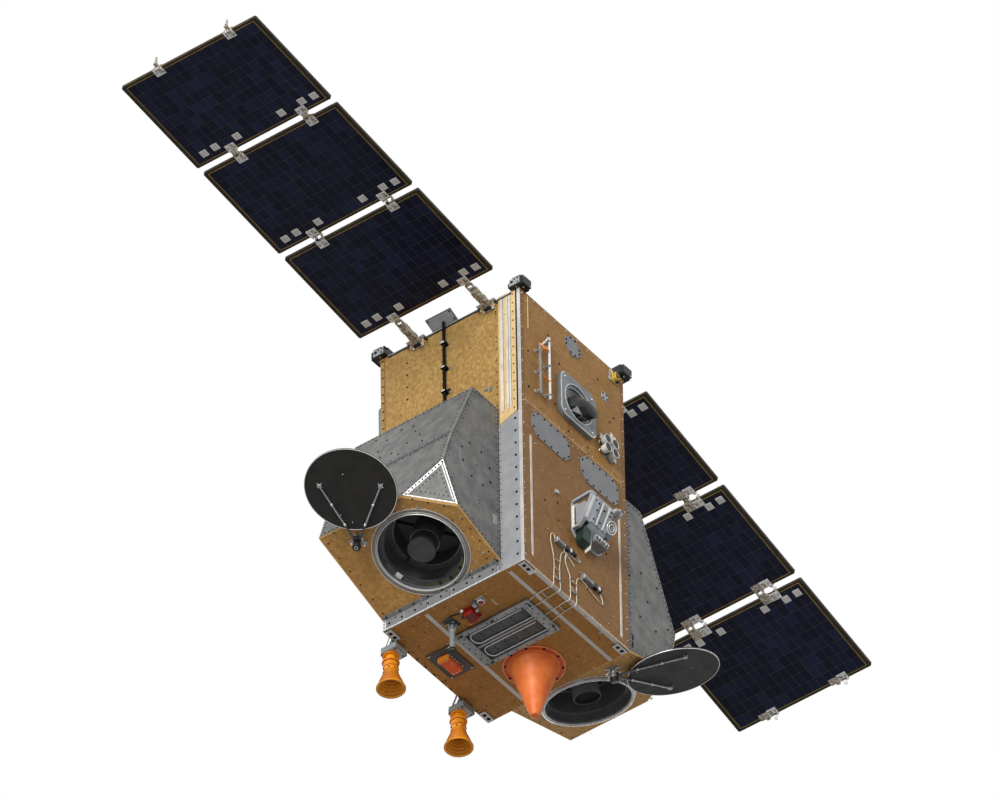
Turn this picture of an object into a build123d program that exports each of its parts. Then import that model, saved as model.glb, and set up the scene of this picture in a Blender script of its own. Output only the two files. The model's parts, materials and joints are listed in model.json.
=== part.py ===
"""Earth-mapping satellite: a box bus, two tilted cameras with swing-away covers, two folding solar wings.

Millimetres. The origin is the centre of the launch ring's mating face and +Z points to the zenith, so the
whole satellite hangs below z = 0. +X is the forward camera's side, +Y the main equipment wall's side.
"""
import os
from collections import namedtuple
from math import atan2
from math import cos
from math import degrees
from math import radians
from math import sin

from build123d import *

# ---------------------------------------------------------------- driving dimensions: bus
body_x = 1180.0
body_y = 1200.0
body_z = 2510.0
panel_t = 25.0
post_w = 40.0
seam_height = 1500.0          # of the split in the two side walls, above the earth face
seam_gap = 4.0

# launch ring
ring_height = 100.0
ring_outer_r = 468.5
ring_wall = 8.0
ring_flange_w = 62.0
ring_flange_t = 12.0
ring_bolt_pcd = 880.0
ring_bolt_count = 12
ring_bolt_hole_r = 5.5

z_top = -ring_height
z_bottom = z_top - body_z
face_x = body_x / 2
face_y = body_y / 2

# hold-down fittings on the top corners and drilled plates on the bottom corners
fitting_in = 70.0             # of a top fitting, inwards from both walls
fitting_out = 42.0
fitting_h = 72.0
fitting_notch = 34.0
fitting_corner = 14.0
bracket_l = 116.0
bracket_w = 58.0
bracket_t = 6.0
bracket_hole_r = 10.0
bracket_edge = 3.0            # from the bracket to the bus edge

# ---------------------------------------------------------------- driving dimensions: cameras
wall_t = 4.0                  # sheet of the camera housings
front_t = 12.0                # front panel of a camera
mouth_r = 300.0               # clear radius at a camera's mouth
ring_rim = 27.0               # width of the bright ring round the mouth
ring_proud = 14.0
barrel_wall = 8.0
barrel_depth = 380.0
step_in = (28.0, 62.0)        # that the barrel narrows by, in two steps
step_depth = (55.0, 212.0)
mirror_t = 20.0
hub_r = 95.0
hub_depth = 18.0              # from the front face down to the hub's end
hub_collar_r = 103.0
hub_collar_depth = 270.0
vane_t = 5.0
vane_h = 40.0
vane_count = 4
hub_wall = 6.0
hub_pocket = 120.0            # hollow at the end of the aft camera's hub
vane_turn = 45.0              # of the first vane from the camera's x
wall_clearance = 12.0         # round a barrel where it passes the bus wall

# Cameras. z0: height of the front panel's inner edge above the earth face. out_x, out_z: its outer edge.
# crease_x, crease_z and roof_x, roof_z: the outer wall's bend and its top. low_y, high_y: ends along the
# camera's own y, which is the bus's y for the forward camera and its opposite for the aft one.
# cut_side: the end with the cut corner. cut_in, cut_t: the cut along the outer edge from the corner, and
# along the end edge from the inner edge. ridge_x: where the cut reaches the outer wall.
# lens_t, lens_y: the mouth's centre on the front. pivot_deg: direction from the mouth to the cover's pivot.
# rest_deg: direction from the pivot to the open cover.
Camera = namedtuple("Camera", "name z0 out_x out_z crease_x crease_z roof_x roof_z low_y high_y "
                              "cut_side cut_in cut_t ridge_x lens_t lens_y pivot_deg rest_deg half_turn")
cameras = (
    Camera("fore", 92.0, 720.0, 343.0, 540.0, 898.0, 294.0, 1486.0, -face_y, 404.0, 1, 311.0,
           507.0, 646.0, 334.0, -38.0, -48.2, 29.2, 0.0),
    Camera("aft", 2.0, 684.0, 207.0, 518.0, 593.0, 192.0, 1395.0, -face_y, 400.0, -1, 357.0,
           480.0, 545.0, 334.0, -14.0, -121.7, -40.5, 180.0),
)

# swing-away covers
cover_reach = 430.0           # pivot to cover centre, and pivot to mouth centre
cover_r = 322.0
cover_t = 6.0
cover_gap = 34.0              # front panel to the cover's rim
cover_rim_h = 6.0
cover_rim_t = 5.0
strut_r = 6.0
strut_beyond = 31.0
strut_spread = 213.0
boss_r = 13.0
post_r = 18.0
pin_r = 10.0
head_r = 26.0
head_h = 34.0
foot_reach = 62.0
foot_w = 22.0
foot_t = 6.0
foot_arms = 5
foot_hub_r = 26.0
pin_proud = 4.0               # of a pin beyond what turns on it
strut_clear = 2.0             # between the disc and the struts
running_fit = 0.05            # radial clearance of a pin in its bore
seat_gap = 0.3                # between faces that slide on each other

# forward sill, under the forward camera
sill_t = 8.0
sill_clear = 3.0

# ---------------------------------------------------------------- driving dimensions: wings
wing_w = 1150.0               # along Y
wing_l = 860.0                # of one panel, outwards
wing_t = 25.0
wing_gap = 59.0
wing_panels = ("inner", "mid", "outer")
hinge_ys = (340.0, -265.0)
pin_offset = 25.0             # of the hinge pins from a panel's middle plane
hinge_pin_r = 5.0
knuckle_r = 9.0
leaf_w = 72.0
leaf_l = 60.0
leaf_t = 4.0
ear_t = 8.0
ear_gap = 1.0
tongue_w = 36.0
hinge_pin_proud = 3.0         # of a hinge pin beyond each ear
panel_corner = 8.0

# brackets with upright pins on a wing's free end
end_plate_l = 50.0
end_shelf_out = 34.0
end_shelf_w = 28.0
end_shelf_t = 10.0
end_pin_out = 22.0
end_pin_r = 8.0
end_pin_l = 70.0

# Wings. out: panel edge's distance from the bus wall. rise: its height above the zenith face.
# tilt: upwards slope in degrees, outwards. half_turn: 180 puts the wing on the aft side.
Wing = namedtuple("Wing", "name out rise tilt half_turn")
wings = (Wing("fore", 266.0, 0.0, 8.0, 0.0), Wing("aft", 306.0, 116.0, -14.7, 180.0))

arm_w = 34.0
arm_foot_w = 96.0
arm_foot_h = 84.0
arm_foot_t = 12.0
clevis_l = 36.0               # of the ears, from the arm to the pin
clevis_lap = 6.0              # of the cross block into the arm
clevis_block = 14.0

# ---------------------------------------------------------------- driving dimensions: equipment
cone_x = -314.0
cone_r = 177.0
cone_flange_r = 215.0
cone_flange_t = 8.0
cone_l = 456.0
cone_tip_r = 31.0
cone_tip_round = 12.4

radiator_x = (-98.0, 272.0)
radiator_y = (-242.0, 384.0)
radiator_t = 30.0
radiator_rim = 30.0
radiator_floor = 12.0

sensor_plate_x = (-68.0, 218.0)
sensor_plate_y = (-519.0, -323.0)
sensor_plate_t = 12.0
sensor_box = (82.0, 177.0, 40.0)
sensor_corner = 6.0

mast_x = 367.0
mast_y = -184.0
mast_r = 20.0
mast_l = 221.0
mast_foot = 70.0
mast_foot_t = 14.0
mast_bevel = 4.0

beacon_at = (388.0, -7.0)
beacon_size = (120.0, 96.0, 46.0)
beacon_base_t = 12.0
beacon_inset = 0.7            # of the body against the base
sun_sensor_at = (449.0, 122.0)
sun_sensor_size = (62.0, 62.0, 22.0)
sun_sensor_base_t = 10.0
sun_sensor_eye_r = 20.0

# horn antennas on the -Y wall
horn_xs = (430.0, -332.0)
horn_y_out = 62.0             # of a horn's axis from the wall
horn_drop = 369.0             # of its mouth below the earth face
horn_mouth_r = 101.0
horn_wall = 4.0
horn_bell_l = 132.0
horn_tube_r = 52.0
horn_tube_l = 95.0
horn_collar_r = 60.0
horn_collar_h = 12.0
horn_neck_r = 36.0
shelf_drop = 30.0             # of the horn's shelf below the earth face
shelf_t = 45.0
shelf_w = 130.0
shelf_in = 30.0               # that the shelf reaches under the bus
shelf_out = 112.0
horn_strut_r = 6.0
horn_foot_h = 120.0           # of the wall foot that carries the struts
horn_foot_t = 10.0
shelf_corner = 18.0
strut_in = (12.0, 22.0)       # of a strut's upper and lower end from the shelf's sides
strut_top_drop = 14.0         # of its upper end below the foot's top
strut_toe_in = 24.0           # of its lower end from the shelf's free edge
strut_sink = 4.0              # of its lower end into the shelf

# star trackers: x, height, side of the wall
star_w = 400.0
star_corner_r = 70.0
star_t = 34.0
star_baffle_r = 108.0
star_hole_gap = 20.0          # round the baffle, to the bezel's through hole
star_step = 22.0              # from there out to its front recess
star_baffle_l = 84.0
star_baffle_wall = 5.0
star_floor = 20.0             # of a baffle
star_trackers = ((-20.0, 1843.0, 1), (372.0, 1925.0, -1))

thruster_at = (-403.0, 1700.0)
thruster_plate = (150.0, 210.0, 10.0)
thruster_spacing = (76.0, 104.0)
thruster_mouth_r = 27.0
thruster_throat_r = 12.0
thruster_l = 62.0
thruster_wall = 2.5
thruster_block = 34.0
thruster_floor = 8.0          # of a bell
thruster_cup_r = 11.5         # of its hollow at the floor

instrument_x = (-328.0, 12.0)
instrument_z = (640.0, 1090.0)
instrument_d = 190.0
instrument_boss_r = 62.0
instrument_boss_l = 46.0
instrument_base_t = 12.0
# Boxes on the base: share of the width, share of the height, share of the depth.
instrument_steps = ((0.8, 0.8, 0.6), (0.5, 0.5, 0.4))
instrument_shift = 0.05       # of the head and boss, as a share, towards the fore upper corner

# access plates: wall side, x, width, height of the middle, plate height
plate_t = 6.0
plate_corner = 60.0
access_plates = (
    (1, 268.0, 430.0, 1360.0, 232.0),
    (1, -289.0, 430.0, 1350.0, 238.0),
    (1, -5.0, 184.0, 2385.0, 170.0),
    (-1, -289.0, 430.0, 1360.0, 232.0),
)

# rods on the +Y wall: x, low end, high end, radius
wall_rods = ((406.0, 1618.0, 2000.0, 9.0), (298.0, 1652.0, 2190.0, 12.0))
rod_standoff = 34.0
rod_clamp = 34.0
rod_clamp_in = 40.0           # of a clamp from the rod's end
clamp_lip = 6.0               # of a clamp beyond what it holds

# connectors on the +Y wall: x, height, length
connectors = ((155.0, 425.0, 190.0), (-155.0, 299.0, 211.0))
connector_h = 34.0
connector_d = 26.0

antenna_y = -34.0
antenna_r = 11.0
antenna_low = 1530.0
antenna_over = 8.0            # above the zenith face
antenna_standoff = 28.0
antenna_clamps = (1875.0, 2097.0, 2324.0)
antenna_clamp = 40.0

tray_y = (-150.0, 66.0)
tray_in = 60.0
tray_out = 96.0
tray_t = 8.0
tray_tilt = 25.0


# ---------------------------------------------------------------- helpers
def block(x, y, z):
    """A box between two limits along each axis."""
    size = (x[1] - x[0], y[1] - y[0], z[1] - z[0])
    middle = ((x[0] + x[1]) / 2, (y[0] + y[1]) / 2, (z[0] + z[1]) / 2)
    return Pos(*middle) * Box(*size)


def polygon(points):
    """A flat face through the points."""
    return Face(Wire.make_polygon([Vector(*p) for p in points], close=True))


def prism_y(profile, low, high):
    """An outline in x and z, extruded along Y."""
    face = polygon([(x, low, z) for x, z in profile])
    return extrude(face, amount=high - low, dir=(0, 1, 0))


def behind(solid, point, normal):
    """What is left of a solid behind a plane; the normal points to what goes away."""
    reach = 8000.0
    cutter = Plane(origin=point, z_dir=normal) * Pos(0, 0, reach / 2) * Box(reach, reach, reach)
    return solid - cutter


def height(z):
    """A height above the earth face, in the satellite's frame."""
    return z_bottom + z


def rod_between(start, end, radius):
    """A round bar from one point to another."""
    line = Vector(*end) - Vector(*start)
    plane = Plane(origin=start, z_dir=line)
    return plane * Pos(0, 0, line.length / 2) * Cylinder(radius, line.length)


def turned(shape, half_turn):
    """The shape turned about the satellite's vertical axis."""
    return Rot(0, 0, half_turn) * shape


def solids_of(shapes):
    """One compound of separate solids."""
    return Compound(children=[s for shape in shapes for s in shape.solids()])


# ---------------------------------------------------------------- bus
def launch_ring():
    """A web between two flanges, the upper one drilled for the launcher's bolts."""
    inner_r = ring_outer_r - ring_flange_w
    web_r = ring_bolt_pcd / 2 - ring_bolt_hole_r - ring_flange_t
    flange = Cylinder(ring_outer_r, ring_flange_t) - Cylinder(inner_r, ring_flange_t)
    upper = Pos(0, 0, -ring_flange_t / 2) * flange
    lower = Pos(0, 0, z_top + ring_flange_t / 2) * flange
    web = Pos(0, 0, z_top / 2) * (Cylinder(web_r, ring_height) - Cylinder(web_r - ring_wall, ring_height))
    for hole in PolarLocations(ring_bolt_pcd / 2, ring_bolt_count) * Cylinder(ring_bolt_hole_r, ring_height):
        upper = upper - hole
    return upper + lower + web


def side_wall(sign, low, high):
    """A panel between two corner posts on the +Y or -Y side."""
    x = face_x - post_w
    outer = sign * face_y
    inner = sign * (face_y - panel_t)
    return block((-x, x), (min(outer, inner), max(outer, inner)), (height(low), height(high)))


def barrel_space(camera):
    """The room that a camera's barrel needs where it passes the bus wall."""
    radius = mouth_r + barrel_wall + wall_clearance
    depth = barrel_depth + mirror_t + wall_clearance
    return lens_plane(camera) * Pos(0, 0, depth / 2) * Cylinder(radius, depth)


def end_wall(camera):
    """The panel between two corner posts behind a camera, with the cut-out for its barrel."""
    y = face_y - post_w
    wall = block((face_x - panel_t, face_x), (-y, y), (height(panel_t), height(body_z - panel_t)))
    return turned(wall - barrel_space(camera), camera.half_turn)


def corner_posts():
    posts = []
    for sx in (-1, 1):
        for sy in (-1, 1):
            x = sx * (face_x - post_w / 2)
            y = sy * (face_y - post_w / 2)
            posts.append(Pos(x, y, z_bottom + body_z / 2) * Box(post_w, post_w, body_z - 2 * panel_t))
    return solids_of(posts)


def top_fitting():
    """A notched hold-down block on the corner between the +X and +Y walls."""
    solid = block((-fitting_in, fitting_out), (-fitting_in, fitting_out), (0, fitting_h))
    notch = block((fitting_out - fitting_notch, fitting_out), (-fitting_in, -fitting_in / 2),
                  (fitting_h / 2, fitting_h))
    solid = solid - notch
    return chamfer(solid.edges().filter_by(Axis.Z).sort_by(Axis.Y)[-2:], fitting_corner)


def earth_bracket():
    """A drilled plate on the earth face at the same corner."""
    x = -bracket_edge - bracket_l / 2
    y = -bracket_edge - bracket_w / 2
    plate = Pos(x, y, -bracket_t / 2) * Box(bracket_l, bracket_w, bracket_t)
    for side in (-1, 1):
        plate = plate - Pos(x + side * bracket_l / 5, y, -bracket_t / 2) * Cylinder(bracket_hole_r, bracket_t)
    return plate


def corner_brackets():
    parts = []
    for sx in (-1, 1):
        for sy in (-1, 1):
            for level, piece in ((z_top, top_fitting()), (z_bottom, earth_bracket())):
                if sx < 0:
                    piece = mirror(piece, about=Plane.YZ)
                if sy < 0:
                    piece = mirror(piece, about=Plane.XZ)
                parts.append(Pos(sx * face_x, sy * face_y, level) * piece)
    return solids_of(parts)


# ---------------------------------------------------------------- cameras
def front_plane(camera):
    """Origin on the front panel's inner edge, x along the panel outwards, y along Y, z into the housing."""
    slope = atan2(camera.out_z - camera.z0, camera.out_x)
    return Plane(origin=(face_x, 0, height(camera.z0)), x_dir=(cos(slope), 0, sin(slope)),
                 z_dir=(-sin(slope), 0, cos(slope)))


def lens_plane(camera):
    """At the middle of a camera's mouth, with the front panel's axes."""
    return Plane(front_plane(camera).location * Pos(camera.lens_t, camera.lens_y, 0))


def housing_planes(camera):
    """Points and outward normals of the housing's walls, without the front and the bus side."""
    out = (face_x + camera.out_x, height(camera.out_z))
    crease = (face_x + camera.crease_x, height(camera.crease_z))
    roof = (face_x + camera.roof_x, height(camera.roof_z))
    planes = []
    for low, high in ((out, crease), (crease, roof)):
        planes.append(((low[0], 0, low[1]), (high[1] - low[1], 0, low[0] - high[0])))
    planes.append(((roof[0], 0, roof[1]), (0, 0, 1)))
    planes.append(((face_x, camera.low_y, 0), (0, -1, 0)))
    planes.append(((face_x, camera.high_y, 0), (0, 1, 0)))
    side = camera.cut_side
    end_y = camera.high_y if side > 0 else camera.low_y
    slope = atan2(camera.out_z - camera.z0, camera.out_x)
    on_edge = Vector(out[0], end_y - side * camera.cut_in, out[1])
    on_end = Vector(face_x + camera.cut_t * cos(slope), end_y, height(camera.z0) + camera.cut_t * sin(slope))
    share = (camera.out_x - camera.ridge_x) / (camera.out_x - camera.crease_x)
    ridge = Vector(face_x + camera.ridge_x, end_y, out[1] + share * (crease[1] - out[1]))
    normal = (on_end - on_edge).cross(ridge - on_edge)
    normal = normal if normal.X > 0 else normal * -1
    planes.append((tuple(on_edge), tuple(normal)))
    return planes


def housing_block(camera, inset, front_inset):
    """The housing's outer shape, or its cavity where the planes are inset."""
    plane = front_plane(camera)
    slack = 1.0
    solid = block((face_x, face_x + camera.out_x + slack), (camera.low_y - slack, camera.high_y + slack),
                  (height(camera.z0) - slack, height(camera.roof_z) + slack))
    for point, normal in housing_planes(camera):
        outward = Vector(*normal).normalized()
        solid = behind(solid, tuple(Vector(*point) - outward * inset), normal)
    return behind(solid, tuple(plane.origin + plane.z_dir * front_inset), tuple(plane.z_dir * -1))


def housing(camera):
    shell = housing_block(camera, 0, front_t) - housing_block(camera, wall_t, 0)
    return turned(shell, camera.half_turn)


def camera_front(camera):
    outside = -1.0
    panel = housing_block(camera, 0, 0) - housing_block(camera, outside, front_t)
    hole = lens_plane(camera) * Cylinder(mouth_r + barrel_wall, 4 * front_t)
    return turned(panel - hole, camera.half_turn)


def camera_ring(camera):
    outer = mouth_r + ring_rim
    ring = Cylinder(outer, ring_proud) - Cylinder(mouth_r, ring_proud)
    ring = chamfer(ring.edges().filter_by(GeomType.CIRCLE).sort_by(Axis.Z)[:2], ring_proud / 3)
    return turned(lens_plane(camera) * Pos(0, 0, -ring_proud / 2) * ring, camera.half_turn)


def camera_barrel(camera):
    """A stepped tube with the mirror cell at its back."""
    radii = [mouth_r] + [mouth_r - step for step in step_in]
    starts = (0.0,) + step_depth
    length = barrel_depth + mirror_t
    solid = Pos(0, 0, length / 2) * Cylinder(mouth_r + barrel_wall, length)
    ends = step_depth + (barrel_depth,)
    for radius, start, end in zip(radii, starts, ends):
        solid = solid - Pos(0, 0, (start + end) / 2) * Cylinder(radius, end - start)
    return turned(lens_plane(camera) * solid, camera.half_turn)


def camera_hub(camera):
    """The secondary mirror's housing, carried by vanes on the barrel's second step."""
    throat_r = mouth_r - step_in[-1]
    body = Pos(0, 0, (hub_depth + hub_collar_depth) / 2) * Cylinder(hub_r, hub_collar_depth - hub_depth)
    collar = Pos(0, 0, hub_collar_depth + vane_h / 2) * Cylinder(hub_collar_r, vane_h)
    solid = body + collar
    if camera.cut_side < 0:
        solid = solid - Pos(0, 0, hub_depth + hub_pocket / 2) * Cylinder(hub_r - hub_wall, hub_pocket)
    for k in range(vane_count):
        reach = throat_r - hub_r / 2
        vane = Pos(hub_r / 2 + reach / 2, 0, hub_collar_depth + vane_h / 2) * Box(reach, vane_t, vane_h)
        solid = solid + Rot(0, 0, vane_turn + 360 * k / vane_count) * vane
    limit = Pos(0, 0, barrel_depth / 2) * Cylinder(throat_r, barrel_depth)
    return turned(lens_plane(camera) * (solid & limit), camera.half_turn)


# ---------------------------------------------------------------- covers
def pivot_plane(camera):
    """At a cover's pivot on the front panel: x along the panel outwards, z into the housing."""
    angle = radians(camera.pivot_deg)
    return Plane(lens_plane(camera).location * Pos(cover_reach * cos(angle), cover_reach * sin(angle), 0))


def cover_bracket(camera):
    """A star-shaped foot with the post and pin that the cover swings on."""
    foot = Cylinder(foot_hub_r, foot_t)
    for k in range(foot_arms):
        arm = Pos(foot_reach / 2, 0, 0) * Box(foot_reach, foot_w, foot_t)
        foot = foot + Rot(0, 0, 360 * k / foot_arms) * arm
    post_h = cover_gap - foot_t
    post = Cylinder(post_r, post_h)
    pin_h = head_h + seat_gap + pin_proud
    pin = Cylinder(pin_r, pin_h)
    solid = Pos(0, 0, -foot_t / 2) * foot + Pos(0, 0, -foot_t - post_h / 2) * post
    solid = solid + Pos(0, 0, -cover_gap - pin_h / 2) * pin
    return turned(pivot_plane(camera) * solid, camera.half_turn)


def cover_frame(camera, shape):
    """A cover's piece, drawn with its pivot at the origin and the disc along x, placed at rest."""
    return turned(pivot_plane(camera) * Rot(0, 0, camera.rest_deg) * shape, camera.half_turn)


def cover_disc(camera):
    rim_low = -cover_gap
    face_low = rim_low - cover_rim_h
    disc = Pos(cover_reach, 0, face_low - cover_t / 2) * Cylinder(cover_r, cover_t)
    rim = Cylinder(cover_r, cover_rim_h) - Cylinder(cover_r - cover_rim_t, cover_rim_h)
    return cover_frame(camera, disc + Pos(cover_reach, 0, rim_low - cover_rim_h / 2) * rim)


def cover_struts(camera):
    face_low = -cover_gap - cover_rim_h - cover_t
    level = face_low - strut_r - strut_clear
    head = Cylinder(head_r, head_h) - Cylinder(pin_r + running_fit, head_h)
    solid = Pos(0, 0, -cover_gap - seat_gap - head_h / 2) * head
    for side in (-1, 1):
        tip = (cover_reach + strut_beyond, side * strut_spread, level)
        start = (head_r * 0.8, side * head_r * 0.4, level)
        solid = solid + rod_between(start, tip, strut_r)
        boss_h = 2 * (strut_r + strut_clear)
        solid = solid + Pos(tip[0], tip[1], face_low - boss_h / 2) * Cylinder(boss_r, boss_h)
    return cover_frame(camera, solid)


# ---------------------------------------------------------------- wings
def pin_at(wing):
    """x and z of a wing's root hinge pin, on the +X side."""
    tilt = radians(wing.tilt)
    x = face_x + wing.out - wing_gap / 2 * cos(tilt)
    z = z_top + wing.rise - wing_gap / 2 * sin(tilt)
    return x, z


def wing_frame(wing, shape):
    """A wing's piece, drawn from the root pin outwards along x with its middle at z = 0, placed at rest."""
    x, z = pin_at(wing)
    return turned(Pos(x, 0, z) * Rot(0, -wing.tilt, 0) * shape, wing.half_turn)


def panel_start(index):
    return wing_gap / 2 + index * (wing_l + wing_gap)


def wing_panel(wing, index):
    start = panel_start(index)
    plate = block((start, start + wing_l), (-wing_w / 2, wing_w / 2), (-wing_t / 2, wing_t / 2))
    plate = chamfer(plate.edges().filter_by(Axis.Z), panel_corner)
    return wing_frame(wing, plate)


def leaf(offset, wide):
    """One hinge leaf for a panel edge at x = -wing_gap / 2, its pin at x = 0 and z = offset.

    A wide leaf has two ears and the pin, the other a tongue with the bore.
    """
    edge = -wing_gap / 2
    half = wing_t / 2
    plate = block((edge - leaf_l, edge), (-leaf_w / 2, leaf_w / 2), (-half - leaf_t, -half))
    back = block((edge, edge + leaf_t), (-leaf_w / 2, leaf_w / 2), (-half - leaf_t, half))
    solid = plate + back
    low = min(offset - knuckle_r * 0.7, -half - leaf_t)
    high = max(offset + knuckle_r * 0.7, half)
    if offset == 0:
        low = -knuckle_r
        high = knuckle_r
    web_profile = [(edge + leaf_t / 2, low), (edge + leaf_t * 2, low), (0, offset - knuckle_r * 0.9),
                   (0, offset + knuckle_r * 0.9), (edge + leaf_t * 2, high), (edge + leaf_t / 2, high)]
    if wide:
        spans = ((-tongue_w / 2 - ear_gap - ear_t, -tongue_w / 2 - ear_gap),
                 (tongue_w / 2 + ear_gap, tongue_w / 2 + ear_gap + ear_t))
    else:
        spans = ((-tongue_w / 2, tongue_w / 2),)
    for y0, y1 in spans:
        knuckle = Pos(0, (y0 + y1) / 2, offset) * Rot(90, 0, 0) * Cylinder(knuckle_r, y1 - y0)
        solid = solid + prism_y(web_profile, y0, y1) + knuckle
    bar = Pos(0, 0, offset) * Rot(90, 0, 0)
    if wide:
        solid = solid + bar * Cylinder(hinge_pin_r, tongue_w + 2 * (ear_gap + ear_t + hinge_pin_proud))
    else:
        solid = solid - bar * Cylinder(hinge_pin_r + running_fit, tongue_w + 2 * ear_gap)
    return solid


def end_bracket():
    """A bracket with an upright locating pin, on the free edge of the outer panel."""
    low = -wing_t / 2 - leaf_t
    shelf_low = wing_t / 2
    shelf_high = shelf_low + end_shelf_t
    plate = block((-end_plate_l, 0), (-leaf_w / 2, leaf_w / 2), (low, -wing_t / 2))
    cheek = block((0, leaf_t), (-leaf_w / 2, leaf_w / 2), (low, shelf_high))
    shelf = block((leaf_t, end_shelf_out), (-end_shelf_w / 2, end_shelf_w / 2), (shelf_low, shelf_high))
    pin_z = shelf_low + end_shelf_t / 2 + end_pin_l / 2
    upright = Pos(end_pin_out, 0, pin_z) * Cylinder(end_pin_r, end_pin_l)
    return plate + cheek + shelf + upright


def pin_height(joint_index):
    """Offset of the pin between two panels: zenith side first, then cell side."""
    return pin_offset if joint_index % 2 == 0 else -pin_offset


def panel_hinges(wing, index):
    """All the hinge leaves and brackets that are fixed to one panel."""
    start = panel_start(index)
    inner_pin = start - wing_gap / 2
    outer_pin = start + wing_l + wing_gap / 2
    parts = []
    for y in hinge_ys:
        inner_offset = 0 if index == 0 else pin_height(index - 1)
        inner = Rot(0, 0, 180) * leaf(inner_offset, False)
        parts.append(Pos(inner_pin, y, 0) * inner)
        if index + 1 < len(wing_panels):
            parts.append(Pos(outer_pin, y, 0) * leaf(pin_height(index), True))
        else:
            parts.append(Pos(start + wing_l, y, 0) * end_bracket())
    return solids_of([wing_frame(wing, part) for part in parts])


def wing_arms(wing):
    """Two arms from the bus wall's top edge to the wing's root pins."""
    x, z = pin_at(wing)
    parts = []
    foot_z = z_top - arm_foot_h / 2
    for y in hinge_ys:
        foot = block((face_x, face_x + arm_foot_t), (-arm_foot_w / 2, arm_foot_w / 2),
                     (foot_z - arm_foot_h / 2, foot_z + arm_foot_h / 2))
        start = Vector(face_x + arm_foot_t / 2, 0, foot_z)
        end = Vector(x, 0, z)
        line = end - start
        near = end - line.normalized() * clevis_l
        arm_plane = Plane(origin=tuple(start), x_dir=(0, 1, 0), z_dir=tuple(line))
        run = (near - start).length
        arm = arm_plane * Pos(0, 0, run / 2) * Box(arm_w, arm_w, run)
        slope = degrees(atan2(line.Z, line.X))
        fork = Pos(x, 0, z) * Rot(0, -slope, 0) * clevis(clevis_l)
        solid = foot + arm + fork
        clear = block((face_x - arm_w, face_x), (-arm_foot_w, arm_foot_w), (height(0), 0))
        solid = solid - clear
        parts.append(Pos(0, y, 0) * solid)
    return solids_of([turned(part, wing.half_turn) for part in parts])


def clevis(length):
    """Two ears with a pin at the origin, on a cross block that starts at x = -length."""
    half = tongue_w / 2 + ear_gap
    low = -length - clevis_lap
    solid = block((low, low + clevis_block), (-half - ear_t, half + ear_t), (-knuckle_r, knuckle_r))
    for side in (-1, 1):
        y = side * (half + ear_t / 2)
        ear = block((-length, 0), (y - ear_t / 2, y + ear_t / 2), (-knuckle_r, knuckle_r))
        solid = solid + ear + Pos(0, y, 0) * Rot(90, 0, 0) * Cylinder(knuckle_r, ear_t)
    return solid + Rot(90, 0, 0) * Cylinder(hinge_pin_r, 2 * (half + ear_t + hinge_pin_proud))


# ---------------------------------------------------------------- earth face
def cone_antenna():
    flange = Pos(0, 0, -cone_flange_t / 2) * Cylinder(cone_flange_r, cone_flange_t)
    length = cone_l - cone_flange_t
    body = Pos(0, 0, -cone_flange_t - length / 2) * Cone(cone_tip_r, cone_r, length)
    body = fillet(body.edges().sort_by(Axis.Z)[:1], cone_tip_round)
    return Pos(cone_x, 0, z_bottom) * (flange + body)


def radiator():
    x0, x1 = radiator_x
    y0, y1 = radiator_y
    plate = block((x0, x1), (y0, y1), (z_bottom - radiator_t, z_bottom))
    middle = (x0 + x1) / 2
    for low, high in ((x0, middle), (middle, x1)):
        inner = (low + radiator_rim / 2 if low > x0 else low + radiator_rim)
        outer = (high - radiator_rim / 2 if high < x1 else high - radiator_rim)
        plate = plate - block((inner, outer), (y0 + radiator_rim, y1 - radiator_rim),
                              (z_bottom - radiator_t, z_bottom - radiator_floor))
    return plate


def sensor_plate():
    plate = block(sensor_plate_x, sensor_plate_y, (z_bottom - sensor_plate_t, z_bottom))
    return chamfer(plate.edges().filter_by(Axis.Z), panel_corner)


def sensor_unit():
    sx, sy, sz = sensor_box
    x = (sensor_plate_x[0] + sensor_plate_x[1]) / 2
    y = (sensor_plate_y[0] + sensor_plate_y[1]) / 2
    unit = Pos(x, y, z_bottom - sensor_plate_t - sz / 2) * Box(sx, sy, sz)
    return fillet(unit.edges().filter_by(Axis.Z), sensor_corner)


def mast():
    foot = Pos(0, 0, -mast_foot_t / 2) * Box(mast_foot, mast_foot, mast_foot_t)
    shaft = Pos(0, 0, -mast_foot_t - mast_l / 2) * Cylinder(mast_r, mast_l)
    shaft = chamfer(shaft.edges().filter_by(GeomType.CIRCLE).sort_by(Axis.Z)[:1], mast_bevel)
    return Pos(mast_x, mast_y, z_bottom) * (foot + shaft)


def beacon():
    sx, sy, sz = beacon_size
    base = Pos(0, 0, -beacon_base_t / 2) * Box(sx, sy, beacon_base_t)
    body_h = sz - beacon_base_t
    body = Pos(0, 0, -beacon_base_t - body_h / 2) * Box(sx * beacon_inset, sy * beacon_inset, body_h)
    return Pos(beacon_at[0], beacon_at[1], z_bottom) * (base + body)


def sun_sensor():
    sx, sy, sz = sun_sensor_size
    base = Pos(0, 0, -sun_sensor_base_t / 2) * Box(sx, sy, sun_sensor_base_t)
    eye_h = sz - sun_sensor_base_t
    eye = Pos(0, 0, -sun_sensor_base_t - eye_h / 2) * Cylinder(sun_sensor_eye_r, eye_h)
    return Pos(sun_sensor_at[0], sun_sensor_at[1], z_bottom) * (base + eye)


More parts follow.
